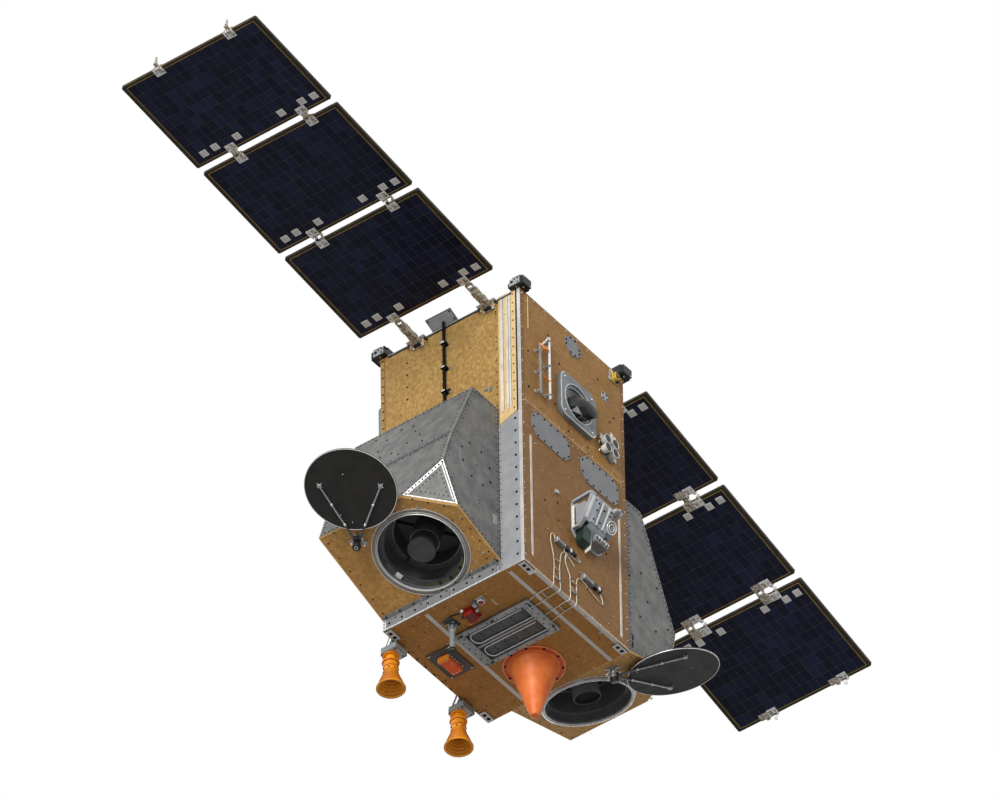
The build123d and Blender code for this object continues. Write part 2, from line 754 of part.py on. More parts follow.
# ---------------------------------------------------------------- horns
def horn():
    """A hollow bell with its mouth downwards, on a stepped neck."""
    mouth_z = z_bottom - horn_drop
    tube_z = mouth_z + horn_bell_l
    collar_z = tube_z + horn_tube_l
    neck_z = collar_z + horn_collar_h
    neck_l = z_bottom - shelf_drop - shelf_t - neck_z
    bell = Pos(0, 0, mouth_z + horn_bell_l / 2) * Cone(horn_mouth_r, horn_tube_r, horn_bell_l)
    bell = bell + Pos(0, 0, tube_z + horn_tube_l / 2) * Cylinder(horn_tube_r, horn_tube_l)
    bore_r = horn_tube_r - horn_wall
    bore = Pos(0, 0, mouth_z + horn_bell_l / 2) * Cone(horn_mouth_r - horn_wall, bore_r, horn_bell_l)
    bore = bore + Pos(0, 0, tube_z + horn_tube_l / 4) * Cylinder(bore_r, horn_tube_l / 2)
    collar = Pos(0, 0, collar_z + horn_collar_h / 2) * Cylinder(horn_collar_r, horn_collar_h)
    neck = Pos(0, 0, neck_z + neck_l / 2) * Cylinder(horn_neck_r, neck_l)
    return bell - bore + collar + neck


def horns():
    y = -face_y - horn_y_out
    return solids_of([Pos(x, y, 0) * horn() for x in horn_xs])


def horn_mounts():
    """A shelf over each horn, hung from the wall by a foot and two struts."""
    parts = []
    shelf_top = z_bottom - shelf_drop
    for x in horn_xs:
        half = shelf_w / 2
        shelf = block((x - half, x + half), (-face_y - shelf_out, -face_y + shelf_in),
                      (shelf_top - shelf_t, shelf_top))
        shelf = chamfer(shelf.edges().filter_by(Axis.Z).sort_by(Axis.Y)[:2], shelf_corner)
        foot = block((x - half, x + half), (-face_y - horn_foot_t, -face_y), (shelf_top, height(horn_foot_h)))
        solid = shelf + foot
        for side in (-1, 1):
            start = (x + side * (half - strut_in[0]), -face_y - horn_foot_t / 2,
                     height(horn_foot_h) - strut_top_drop)
            end = (x + side * (half - strut_in[1]), -face_y - shelf_out + strut_toe_in,
                   shelf_top - strut_sink)
            solid = solid + rod_between(start, end, horn_strut_r)
        wall = block((x - shelf_w, x + shelf_w), (-face_y, -face_y + post_w),
                     (height(0), height(2 * horn_foot_h)))
        parts.append(solid - wall)
    return solids_of(parts)


# ---------------------------------------------------------------- side walls
def on_wall(x, z, sign, shape):
    """A piece drawn with z outwards and y upwards, placed on the +Y (sign 1) or -Y wall."""
    plane = Plane(origin=(x, sign * face_y, height(z)), x_dir=(-sign, 0, 0), z_dir=(0, sign, 0))
    return plane * shape


def star_bezel():
    hole_r = star_baffle_r + star_hole_gap
    parts = []
    for x, z, sign in star_trackers:
        face = RectangleRounded(star_w, star_w, star_corner_r)
        bezel = extrude(face, amount=star_t)
        bezel = bezel - Pos(0, 0, star_t / 2) * Cylinder(hole_r, star_t * 2)
        bezel = bezel - Pos(0, 0, star_t) * Cylinder(hole_r + star_step, star_t)
        parts.append(on_wall(x, z, sign, bezel))
    return solids_of(parts)


def star_baffle():
    parts = []
    for x, z, sign in star_trackers:
        outer = Pos(0, 0, star_baffle_l / 2) * Cylinder(star_baffle_r, star_baffle_l)
        bore_l = star_baffle_l - star_floor
        bore = Pos(0, 0, star_floor + bore_l / 2) * Cylinder(star_baffle_r - star_baffle_wall, bore_l)
        parts.append(on_wall(x, z, sign, outer - bore))
    return solids_of(parts)


def thruster_cluster():
    sx, sz, t = thruster_plate
    solid = Pos(0, 0, t / 2) * Box(sx, sz, t)
    for dx in (-1, 1):
        for dz in (-1, 1):
            x = dx * thruster_spacing[0] / 2
            z = dz * thruster_spacing[1] / 2
            base = Pos(x, z, t + thruster_block / 2) * Box(thruster_block, thruster_block, thruster_block)
            bell = Cone(thruster_throat_r, thruster_mouth_r, thruster_l)
            cup_l = thruster_l - thruster_floor
            cup = Cone(thruster_cup_r, thruster_mouth_r - thruster_wall, cup_l)
            nozzle = bell - Pos(0, 0, thruster_floor / 2) * cup
            solid = solid + base + Pos(x, z, t + thruster_block + thruster_l / 2) * nozzle
    return on_wall(thruster_at[0], thruster_at[1], 1, solid)


def instrument():
    """A stepped instrument with a round boss."""
    width = instrument_x[1] - instrument_x[0]
    tall = instrument_z[1] - instrument_z[0]
    middle_x = (instrument_x[0] + instrument_x[1]) / 2
    middle_z = (instrument_z[0] + instrument_z[1]) / 2
    shift = Pos(-width * instrument_shift, tall * instrument_shift, 0)
    body_share, head_share = instrument_steps
    solid = Pos(0, 0, instrument_base_t / 2) * Box(width, tall, instrument_base_t)
    body_d = instrument_d * body_share[2]
    solid = solid + Pos(0, 0, instrument_base_t + body_d / 2) * Box(
        width * body_share[0], tall * body_share[1], body_d)
    head_d = instrument_d * head_share[2]
    solid = solid + shift * Pos(0, 0, instrument_d - head_d / 2) * Box(
        width * head_share[0], tall * head_share[1], head_d)
    boss_z = instrument_d + instrument_boss_l / 2
    solid = solid + shift * Pos(0, 0, boss_z) * Cylinder(instrument_boss_r, instrument_boss_l)
    return on_wall(middle_x, middle_z, 1, solid)


def access_covers():
    parts = []
    for sign, x, width, z, tall in access_plates:
        plate = Pos(0, 0, plate_t / 2) * Box(width, tall, plate_t)
        plate = chamfer(plate.edges().filter_by(Axis.Z), plate_corner)
        parts.append(on_wall(x, z, sign, plate))
    return solids_of(parts)


def sensor_rods():
    parts = []
    for x, low, high, radius in wall_rods:
        rod = Pos(x, face_y + rod_standoff, height((low + high) / 2)) * Cylinder(radius, high - low)
        solid = rod
        for z in (low + rod_clamp_in, high - rod_clamp_in):
            solid = solid + block((x - rod_clamp / 2, x + rod_clamp / 2),
                                  (face_y, face_y + rod_standoff + radius + clamp_lip),
                                  (height(z) - rod_clamp / 2, height(z) + rod_clamp / 2))
        parts.append(solid)
    return solids_of(parts)


def wall_connectors():
    parts = []
    for x, z, length in connectors:
        parts.append(block((x - length / 2, x + length / 2), (face_y, face_y + connector_d),
                           (height(z) - connector_h / 2, height(z) + connector_h / 2)))
    return solids_of(parts)


# ---------------------------------------------------------------- forward wall
def rod_antenna():
    x = face_x + antenna_standoff
    low = height(antenna_low)
    high = z_top + antenna_over
    solid = Pos(x, antenna_y, (low + high) / 2) * Cylinder(antenna_r, high - low)
    for z in antenna_clamps:
        half = antenna_clamp / 2
        solid = solid + block((face_x, x + antenna_r + clamp_lip), (antenna_y - half, antenna_y + half),
                              (height(z) - half / 2, height(z) + half / 2))
    return solid


def tray():
    """A plate that stands out, tilted up, over the top edge of the forward wall."""
    root = block((face_x - tray_in, face_x), tray_y, (z_top, z_top + tray_t))
    plate = block((-tray_t, tray_out), tray_y, (0, tray_t))
    return root + Pos(face_x, 0, z_top + 0.75 * tray_t) * Rot(0, -tray_tilt, 0) * plate


def fore_sill():
    camera = cameras[0]
    low = 0.0
    high = camera.z0 - sill_clear
    return block((face_x, face_x + sill_t), (camera.low_y, camera.high_y), (height(low), height(high)))


# ---------------------------------------------------------------- every piece
def all_pieces():
    inner_low = panel_t
    inner_high = body_z - panel_t
    pieces = {
        "launch_ring": launch_ring(),
        "zenith_panel": block((-face_x, face_x), (-face_y, face_y), (z_top - panel_t, z_top)),
        "earth_panel": block((-face_x, face_x), (-face_y, face_y), (z_bottom, z_bottom + panel_t)),
        "corner_posts": corner_posts(),
        "corner_brackets": corner_brackets(),
        "fore_sill": fore_sill(),
        "cone_antenna": cone_antenna(),
        "radiator_plate": radiator(),
        "sensor_plate": sensor_plate(),
        "sensor_unit": sensor_unit(),
        "earth_mast": mast(),
        "beacon_unit": beacon(),
        "sun_sensor": sun_sensor(),
        "horn_antennas": horns(),
        "horn_mounts": horn_mounts(),
        "star_bezels": star_bezel(),
        "star_baffles": star_baffle(),
        "thruster_cluster": thruster_cluster(),
        "side_instrument": instrument(),
        "access_plates": access_covers(),
        "sensor_rods": sensor_rods(),
        "wall_connectors": wall_connectors(),
        "rod_antenna": rod_antenna(),
        "top_tray": tray(),
    }
    for name, sign in (("right", 1), ("left", -1)):
        pieces[name + "_lower_wall"] = side_wall(sign, inner_low, seam_height - seam_gap / 2)
        pieces[name + "_upper_wall"] = side_wall(sign, seam_height + seam_gap / 2, inner_high)
    for camera in cameras:
        pieces[camera.name + "_wall"] = end_wall(camera)
        pieces[camera.name + "_camera_housing"] = housing(camera)
        pieces[camera.name + "_camera_front"] = camera_front(camera)
        pieces[camera.name + "_camera_ring"] = camera_ring(camera)
        pieces[camera.name + "_camera_barrel"] = camera_barrel(camera)
        pieces[camera.name + "_camera_hub"] = camera_hub(camera)
        pieces[camera.name + "_cover_bracket"] = cover_bracket(camera)
        pieces[camera.name + "_cover_disc"] = cover_disc(camera)
        pieces[camera.name + "_cover_struts"] = cover_struts(camera)
    for wing in wings:
        pieces[wing.name + "_wing_arms"] = wing_arms(wing)
        for index, place in enumerate(wing_panels):
            pieces[wing.name + "_" + place + "_panel"] = wing_panel(wing, index)
            pieces[wing.name + "_" + place + "_hinges"] = panel_hinges(wing, index)
    return pieces


os.makedirs("parts", exist_ok=True)
for piece_name, piece in all_pieces().items():
    export_step(piece, "parts/" + piece_name + ".step")
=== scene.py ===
"""Looks of the Earth-mapping satellite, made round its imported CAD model.

Metres, in the model's frame: the launch ring's mating face is at z = 0 and +Z points to the zenith, so the
earth face is the lowest side of the bus. Heights on the walls are measured up from the earth face.
"""
import json
import math
import random

import bmesh
import bpy
from mathutils import Matrix, Vector


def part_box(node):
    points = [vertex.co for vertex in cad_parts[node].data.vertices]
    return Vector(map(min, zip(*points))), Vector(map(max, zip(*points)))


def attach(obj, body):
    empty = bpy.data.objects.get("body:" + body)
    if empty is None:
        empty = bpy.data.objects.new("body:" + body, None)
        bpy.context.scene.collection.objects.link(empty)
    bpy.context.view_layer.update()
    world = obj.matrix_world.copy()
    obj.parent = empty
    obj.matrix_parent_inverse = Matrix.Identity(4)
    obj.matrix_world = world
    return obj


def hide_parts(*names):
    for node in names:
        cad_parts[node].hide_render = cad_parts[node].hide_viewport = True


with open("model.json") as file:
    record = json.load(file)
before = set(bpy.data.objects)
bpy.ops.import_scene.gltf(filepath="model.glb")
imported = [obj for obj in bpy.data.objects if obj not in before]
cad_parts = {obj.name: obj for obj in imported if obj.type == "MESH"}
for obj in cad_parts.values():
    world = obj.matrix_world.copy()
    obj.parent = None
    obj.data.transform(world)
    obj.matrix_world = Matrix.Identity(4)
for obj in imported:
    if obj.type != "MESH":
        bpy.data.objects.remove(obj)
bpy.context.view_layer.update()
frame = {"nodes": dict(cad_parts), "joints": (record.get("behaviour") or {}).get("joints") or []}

MM = 0.001
DOWN = Vector((0, 0, -1))
UP = Vector((0, 0, 1))
FORE = Vector((1, 0, 0))
RIGHT = Vector((0, 1, 0))

nodes = frame["nodes"]
joints = {joint["name"]: joint for joint in frame["joints"]}
bus_low = Vector(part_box("earth_panel")[0])
bus_high = Vector(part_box("zenith_panel")[1])
half_x = bus_high.x / MM
half_y = bus_high.y / MM
tall = (bus_high.z - bus_low.z) / MM
hinge_places = (340.0, -265.0)      # each wing's two arms and hinges, across the bus
rod_y = -34.0                       # the rod antenna, across the forward wall


# ---------------------------------------------------------------- colours and finishes
def srgb(red, green, blue):
    """A colour given in screen values from 0 to 255, as the shader wants it."""
    def linear(value):
        share = value / 255
        return share / 12.92 if share <= 0.04045 else ((share + 0.055) / 1.055) ** 2.4
    return (linear(red), linear(green), linear(blue), 1.0)


finishes = {}


class NodeTree:
    """A node tree in the making."""

    def __init__(self, tree):
        self.tree = tree

    def node(self, kind, inputs=None, **settings):
        made = self.tree.nodes.new(kind)
        for key, value in settings.items():
            setattr(made, key, value)
        for key, value in (inputs or {}).items():
            if isinstance(value, bpy.types.NodeSocket):
                self.tree.links.new(value, made.inputs[key])
            else:
                made.inputs[key].default_value = value
        return made


class Finish(NodeTree):
    """A material in the making: a Principled shader and what feeds it, in the object's own coordinates."""

    def __init__(self, name, metallic=0.0, roughness=0.5, specular=0.5):
        self.material = finishes[name] = bpy.data.materials.new(name)
        self.material.use_nodes = True
        super().__init__(self.material.node_tree)
        self.shader = self.tree.nodes["Principled BSDF"]
        self.shader.inputs["Metallic"].default_value = metallic
        self.shader.inputs["Roughness"].default_value = roughness
        self.shader.inputs["Specular IOR Level"].default_value = specular
        self.place = self.node("ShaderNodeTexCoord").outputs["Object"]
        self.bumped = None

    def stretched(self, scale):
        """Coordinates scaled by a different amount along each axis."""
        return self.node("ShaderNodeMapping", {"Vector": self.place, "Scale": scale}).outputs["Vector"]

    def noise(self, scale, detail=2.0, rough=0.5, place=None):
        made = self.node("ShaderNodeTexNoise",
                         {"Vector": place or self.place, "Scale": scale, "Detail": detail,
                                                "Roughness": rough})
        return made.outputs["Fac"]

    def cells(self, scale):
        return self.node("ShaderNodeTexVoronoi", {"Vector": self.place, "Scale": scale}).outputs["Distance"]

    def steps(self, value, stops):
        """Colours over a range, one stop after another."""
        made = self.node("ShaderNodeValToRGB", {"Fac": value})
        ramp = made.color_ramp.elements
        while len(ramp) < len(stops):
            ramp.new(1.0)
        for element, (position, colour) in zip(ramp, stops):
            element.position = position
            element.color = srgb(*colour)
        return made.outputs["Color"]

    def share(self, value, low, high, start=0.0, end=1.0):
        """A value from low to high, turned into one from start to end."""
        made = self.node("ShaderNodeMapRange", {"Value": value, "From Min": low, "From Max": high,
                                                "To Min": start, "To Max": end})
        return made.outputs["Result"]

    def mix(self, factor, first, second):
        """One colour over another; each is a socket or screen values."""
        made = self.node("ShaderNodeMix", {"Factor": factor}, data_type="RGBA")
        for socket, value in ((made.inputs[6], first), (made.inputs[7], second)):
            if isinstance(value, bpy.types.NodeSocket):
                self.tree.links.new(value, socket)
            else:
                socket.default_value = srgb(*value)
        return made.outputs[2]

    def colour(self, value):
        self.tree.links.new(value, self.shader.inputs["Base Color"])

    def roughness(self, value, low, high):
        """Roughness that varies with a value, which may be a texture that the colour uses too."""
        self.tree.links.new(self.share(value, 0.25, 0.75, low, high), self.shader.inputs["Roughness"])

    def bump(self, value, depth):
        """Relief of a depth in metres, on top of the relief made before."""
        inputs = {"Height": value, "Distance": depth, "Strength": 1.0}
        if self.bumped:
            inputs["Normal"] = self.bumped
        self.bumped = self.node("ShaderNodeBump", inputs).outputs["Normal"]
        self.tree.links.new(self.bumped, self.shader.inputs["Normal"])


def foil(name, deep, body, bright, grain=0.0022, streaks=(1.0, 1.0, 1.0), scale=34.0):
    """Blanket foil: mottled, faintly crumpled, with dark and bright flecks."""
    made = Finish(name, metallic=0.15, specular=0.35)
    broad = made.noise(2.6, 4.0, 0.6, made.stretched(streaks))
    mottle = made.noise(scale, 5.0, 0.7, made.stretched(streaks))
    flecks = made.noise(210.0, 2.0, 0.7)
    tone = made.steps(mottle, ((0.28, deep), (0.5, body), (0.74, bright)))
    tone = made.mix(made.share(broad, 0.35, 0.7, 0.0, 0.5), tone, deep)
    tone = made.mix(made.share(flecks, 0.62, 0.72, 0.0, 0.45), tone, bright)
    tone = made.mix(made.share(flecks, 0.38, 0.30, 0.0, 0.6), tone, (58, 42, 26))
    made.colour(tone)
    made.roughness(mottle, 0.5, 0.72)
    made.bump(made.noise(9.0, 3.0, 0.5), grain * 4)
    made.bump(made.cells(26.0), grain * 0.5)
    made.bump(made.noise(120.0, 2.0, 0.6), grain * 0.35)


def sheet(name, dark, light, metallic=0.35, roughness=0.5, scale=1.0):
    """Bare or painted sheet: cloudy, with fine specks and long soft streaks."""
    made = Finish(name, metallic=metallic, specular=0.4)
    clouds = made.noise(7.0 * scale, 5.0, 0.6)
    specks = made.noise(150.0 * scale, 3.0, 0.7)
    grain = made.noise(60.0 * scale, 2.0, 0.5, made.stretched((1.0, 0.25, 1.0)))
    tone = made.steps(clouds, ((0.3, dark), (0.7, light)))
    tone = made.mix(made.share(specks, 0.55, 0.75, 0.0, 0.35), tone, light)
    tone = made.mix(made.share(specks, 0.42, 0.28, 0.0, 0.5), tone, dark)
    made.colour(tone)
    made.roughness(grain, roughness - 0.1, roughness + 0.12)
    made.bump(grain, 0.0006)
    made.bump(specks, 0.00025)


def paint(name, body, shade, roughness=0.45, metallic=0.0, specular=0.5, depth=0.0004):
    """Coated metal: near even, with faint clouds, fine orange peel and rubbed places."""
    made = Finish(name, metallic=metallic, specular=specular)
    clouds = made.noise(11.0, 4.0, 0.55)
    peel = made.noise(320.0, 2.0, 0.5)
    tone = made.steps(clouds, ((0.32, shade), (0.66, body)))
    made.colour(tone)
    made.roughness(clouds, roughness + 0.08, roughness - 0.06)
    made.bump(peel, depth)


def turned_metal(name, dark, light, roughness=0.3, metallic=0.75):
    """Machined metal: fine rings or lines, brighter where it is rubbed."""
    made = Finish(name, metallic=metallic, specular=0.5)
    lines = made.noise(90.0, 2.0, 0.6, made.stretched((1.0, 1.0, 6.0)))
    clouds = made.noise(14.0, 3.0, 0.5)
    tone = made.mix(made.share(lines, 0.35, 0.65), dark, light)
    tone = made.mix(made.share(clouds, 0.4, 0.7, 0.0, 0.4), tone, light)
    made.colour(tone)
    made.roughness(clouds, roughness - 0.06, roughness + 0.12)
    made.bump(lines, 0.0003)


def crumpled(name, dark, light):
    """Thin silver foil wrapped round a part: sharp facets between creases."""
    made = Finish(name, metallic=0.7, specular=0.5)
    facets = made.cells(38.0)
    creases = made.noise(70.0, 3.0, 0.7)
    tone = made.steps(creases, ((0.34, dark), (0.62, light)))
    made.colour(tone)
    made.roughness(creases, 0.22, 0.45)
    made.bump(facets, 0.012)
    made.bump(creases, 0.006)


def cell_glass(name):
    """Solar cells under glass: near black blue, each cell its own tone, with fine grid fingers."""
    made = Finish(name, roughness=0.22, specular=0.12)
    tone = made.node("ShaderNodeAttribute", attribute_name="cell_tone").outputs["Fac"]
    broad = made.noise(1.7, 2.0, 0.5)
    body = made.steps(tone, ((0.0, (15, 19, 39)), (0.55, (21, 26, 49)), (1.0, (31, 37, 66))))
    body = made.mix(made.share(broad, 0.35, 0.65, 0.0, 0.4), body, (16, 19, 32))
    fingers = made.node("ShaderNodeTexWave", {"Vector": made.place, "Scale": 95.0, "Distortion": 0.0},
                        wave_type="BANDS", bands_direction="Y", wave_profile="TRI").outputs["Fac"]
    body = made.mix(made.share(fingers, 0.93, 1.0, 0.0, 0.35), body, (78, 82, 92))
    made.colour(body)
    made.bump(made.noise(5.0, 2.0, 0.5), 0.0006)


foil("wall_foil", (112, 79, 40), (142, 101, 54), (168, 126, 74))
foil("upper_foil", (130, 94, 48), (163, 119, 62), (190, 148, 86))
foil("fore_foil", (136, 100, 46), (174, 138, 76), (214, 182, 118), streaks=(1.0, 1.0, 0.8), scale=42.0)
foil("earth_foil", (142, 96, 42), (170, 118, 54), (196, 142, 70))
foil("front_foil", (154, 112, 58), (188, 140, 76), (216, 170, 102))
foil("strip_foil", (210, 176, 120), (228, 196, 140), (240, 214, 168), grain=0.0014)
sheet("housing_sheet", (98, 98, 98), (134, 133, 130), roughness=0.58, scale=1.6)
sheet("plate_sheet", (121, 122, 124), (138, 139, 141), metallic=0.2)
sheet("light_sheet", (150, 152, 155), (171, 173, 175), metallic=0.25)
sheet("radiator_grey", (140, 146, 146), (168, 172, 171), metallic=0.3)
sheet("radiator_dark", (62, 67, 67), (80, 85, 84), metallic=0.3)
turned_metal("bright_edge", (190, 190, 188), (236, 235, 232), metallic=0.35)
turned_metal("machined", (128, 130, 131), (196, 197, 197), metallic=0.6)
turned_metal("dark_metal", (46, 46, 48), (104, 104, 105), metallic=0.6)
paint("grey_paint", (138, 141, 142), (116, 119, 121))
paint("dark_grey_paint", (92, 94, 94), (74, 75, 75))
paint("black_paint", (30, 30, 31), (22, 22, 23), roughness=0.42, specular=0.35)
paint("cover_black", (44, 42, 40), (35, 34, 32), roughness=0.6, specular=0.3)
paint("barrel_black", (96, 96, 98), (78, 78, 80), roughness=0.4, specular=0.45)
paint("hub_black", (66, 66, 67), (52, 52, 53), roughness=0.42, specular=0.4)
turned_metal("rolled_lip", (118, 118, 119), (214, 213, 211), metallic=0.7)
sheet("flange_sheet", (124, 116, 106), (150, 141, 130), metallic=0.3)
paint("hub_sleeve", (134, 134, 135), (108, 108, 109), roughness=0.4, specular=0.45)
sheet("ridge_sheet", (140, 139, 137), (164, 163, 161), metallic=0.25)
# a darker grey laid along the housings' creases as painted shade
sheet("crease_sheet", (84, 84, 83), (102, 102, 100), metallic=0.25)
paint("deep_red", (92, 28, 20), (62, 18, 14), roughness=0.2)
paint("green_grey", (66, 69, 68), (52, 55, 54), roughness=0.5)
paint("mount_grey", (76, 75, 73), (64, 63, 62), roughness=0.5)
paint("blue_line", (190, 204, 216), (164, 178, 192), roughness=0.35)
paint("bezel_grey", (128, 134, 138), (108, 114, 119), roughness=0.4, metallic=0.2)
sheet("warm_sheet", (186, 180, 173), (206, 200, 193), metallic=0.12)
sheet("radiator_well", (70, 74, 74), (88, 92, 92), metallic=0.2)
# a lighter copper for the flange's edge ring: a painted highlight where the edge catches the light
paint("copper_rim", (246, 172, 120), (226, 142, 90), roughness=0.35, metallic=0.2)
paint("black_bolt", (16, 16, 17), (10, 10, 10), roughness=0.7, specular=0.12)
paint("white_paint", (232, 231, 226), (214, 212, 206))
paint("white_tape", (228, 222, 212), (204, 196, 184), roughness=0.6, depth=0.0012)
paint("copper_paint", (240, 128, 54), (220, 104, 42), roughness=0.52, metallic=0.06)
paint("copper_flange", (206, 86, 40), (180, 70, 30), roughness=0.5)
paint("amber_paint", (250, 162, 24), (222, 132, 14), roughness=0.36)
paint("red_paint", (156, 32, 20), (128, 24, 16), roughness=0.38)
paint("orange_paint", (228, 100, 48), (206, 84, 38), roughness=0.45)
paint("red_orange", (234, 88, 22), (212, 72, 16), roughness=0.5)
# a lighter copy of the amber paint, a painted highlight on the horns' inner rings; amber_dark, a darker copy,
# is painted shade on their outer ring lines
paint("amber_light", (255, 206, 96), (246, 184, 62), roughness=0.36)
paint("amber_dark", (190, 108, 10), (160, 86, 6), roughness=0.42)
crumpled("copper_crumple", (150, 66, 24), (246, 140, 70))
paint("orange_tape", (240, 150, 40), (226, 128, 24), roughness=0.5)
paint("yellow_paint", (226, 188, 52), (196, 156, 34), roughness=0.45)
paint("blue_grey_paint", (184, 191, 197), (152, 161, 169), roughness=0.36, metallic=0.2)
paint("green_paint", (22, 54, 42), (10, 28, 22), roughness=0.4)
paint("pale_wire", (226, 218, 198), (196, 186, 164), roughness=0.6)
cell_glass("cell_glass")
paint("panel_edge", (52, 45, 34), (40, 35, 27), roughness=0.6, specular=0.25)
paint("pad_grey", (208, 203, 198), (186, 182, 178), roughness=0.45)
sheet("panel_back", (40, 40, 41), (56, 56, 57), metallic=0.0, roughness=0.55)
paint("panel_side", (78, 68, 46), (60, 52, 36), roughness=0.6, specular=0.25)
paint("grid_olive", (96, 92, 66), (76, 74, 54), roughness=0.6, specular=0.2)
paint("gold_line", (188, 148, 70), (156, 118, 52), roughness=0.45, metallic=0.3)
crumpled("wrapped_foil", (86, 74, 58), (216, 206, 188))


# ---------------------------------------------------------------- outlines
def polar(radius, angle):
    """A point by its distance and its angle in radians."""
    return radius * math.cos(angle), radius * math.sin(angle)


def circle(radius, count):
    """A ring of points, anticlockwise."""
    turn = math.tau / count
    return [polar(radius, turn * k) for k in range(count)]


def rounded(width, height, radius, steps=6, centre=(0.0, 0.0)):
    """A rectangle with rounded corners, or cut ones where steps is 1."""
    points = []
    for corner in range(4):
        angle = math.pi / 2 * corner
        side_x = 1 if corner in (0, 3) else -1
        side_y = 1 if corner < 2 else -1
        cx = centre[0] + side_x * (width / 2 - radius)
        cy = centre[1] + side_y * (height / 2 - radius)
        for k in range(steps + 1):
            a = angle + math.pi / 2 * k / steps
            points.append((cx + radius * math.cos(a), cy + radius * math.sin(a)))
    return points


def inset(outline, amount):
    """The outline moved inwards by an amount, with mitred corners."""
    moved = []
    count = len(outline)
    for k in range(count):
        before, here, after = (Vector(outline[(k + i) % count]) for i in (-1, 0, 1))
        first = (here - before).normalized()
        second = (after - here).normalized()
        normal_1 = Vector((-first.y, first.x))
        normal_2 = Vector((-second.y, second.x))
        mid = normal_1 + normal_2
        scale = amount * 2 / max(mid.length_squared, 0.2)
        moved.append(tuple(here + mid * scale))
    return moved


def area(outline):
    """The signed area of an outline: positive where it runs anticlockwise."""
    total = 0.0
    for (x0, y0), (x1, y1) in zip(outline, outline[1:] + outline[:1]):
        total += x0 * y1 - x1 * y0
    return total / 2


# ---------------------------------------------------------------- places, counted in millimetres
def seat(origin, along, out):
    """A place on a surface: x along it and z out of it, both in millimetres, from an origin in metres."""
    out = Vector(out).normalized()
    along = Vector(along)
    along = (along - out * along.dot(out)).normalized()
    across = out.cross(along)
    place = (Matrix((along, across, out)).transposed() * MM).to_4x4()
    place.translation = origin
    return place


def shifted(place, x=0.0, y=0.0, z=0.0, turn=0.0):
    """A place moved in its own frame, then turned about its own z, in degrees."""
    return place @ Matrix.Translation((x, y, z)) @ Matrix.Rotation(math.radians(turn), 4, "Z")


def tipped(place, degrees, axis="X"):
    """A place turned about one of its own axes."""
    return place @ Matrix.Rotation(math.radians(degrees), 4, axis)


def outward(place):
    return (place.to_3x3() @ Vector((0, 0, 1))).normalized()


def box_mm(node):
    """A node's lowest and highest corners and their middle, in millimetres."""
    low, high = (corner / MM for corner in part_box(node))
    return low, high, (low + high) / 2


def spot(x, y, h):
    """A point by its x, y and height above the earth face."""
    return Vector((x * MM, y * MM, bus_low.z + h * MM))


def on_right(x, h, out=0.0):
    """On the +Y wall: local x runs aft, local y up."""
    return seat(spot(x, half_y + out, h), -FORE, RIGHT)


def on_left(x, h, out=0.0):
    """On the -Y wall: local x runs forward, local y up."""
    return seat(spot(x, -half_y - out, h), FORE, -RIGHT)


def on_fore(y, h, out=0.0):
    """On the +X wall: local x runs along +Y, local y up."""
    return seat(spot(half_x + out, y, h), RIGHT, FORE)


def on_aft(y, h, out=0.0):
    """On the -X wall: local x runs along -Y, local y up."""
    return seat(spot(-half_x - out, y, h), -RIGHT, -FORE)


def on_earth(x, y, out=0.0):
    """On the earth face: local x runs forward, local y along -Y."""
    return seat(spot(x, y, -out), FORE, DOWN)


def on_zenith(x, y, out=0.0):
    """On the zenith face: local x runs forward, local y along +Y."""
    return seat(spot(x, y, tall + out), FORE, UP)


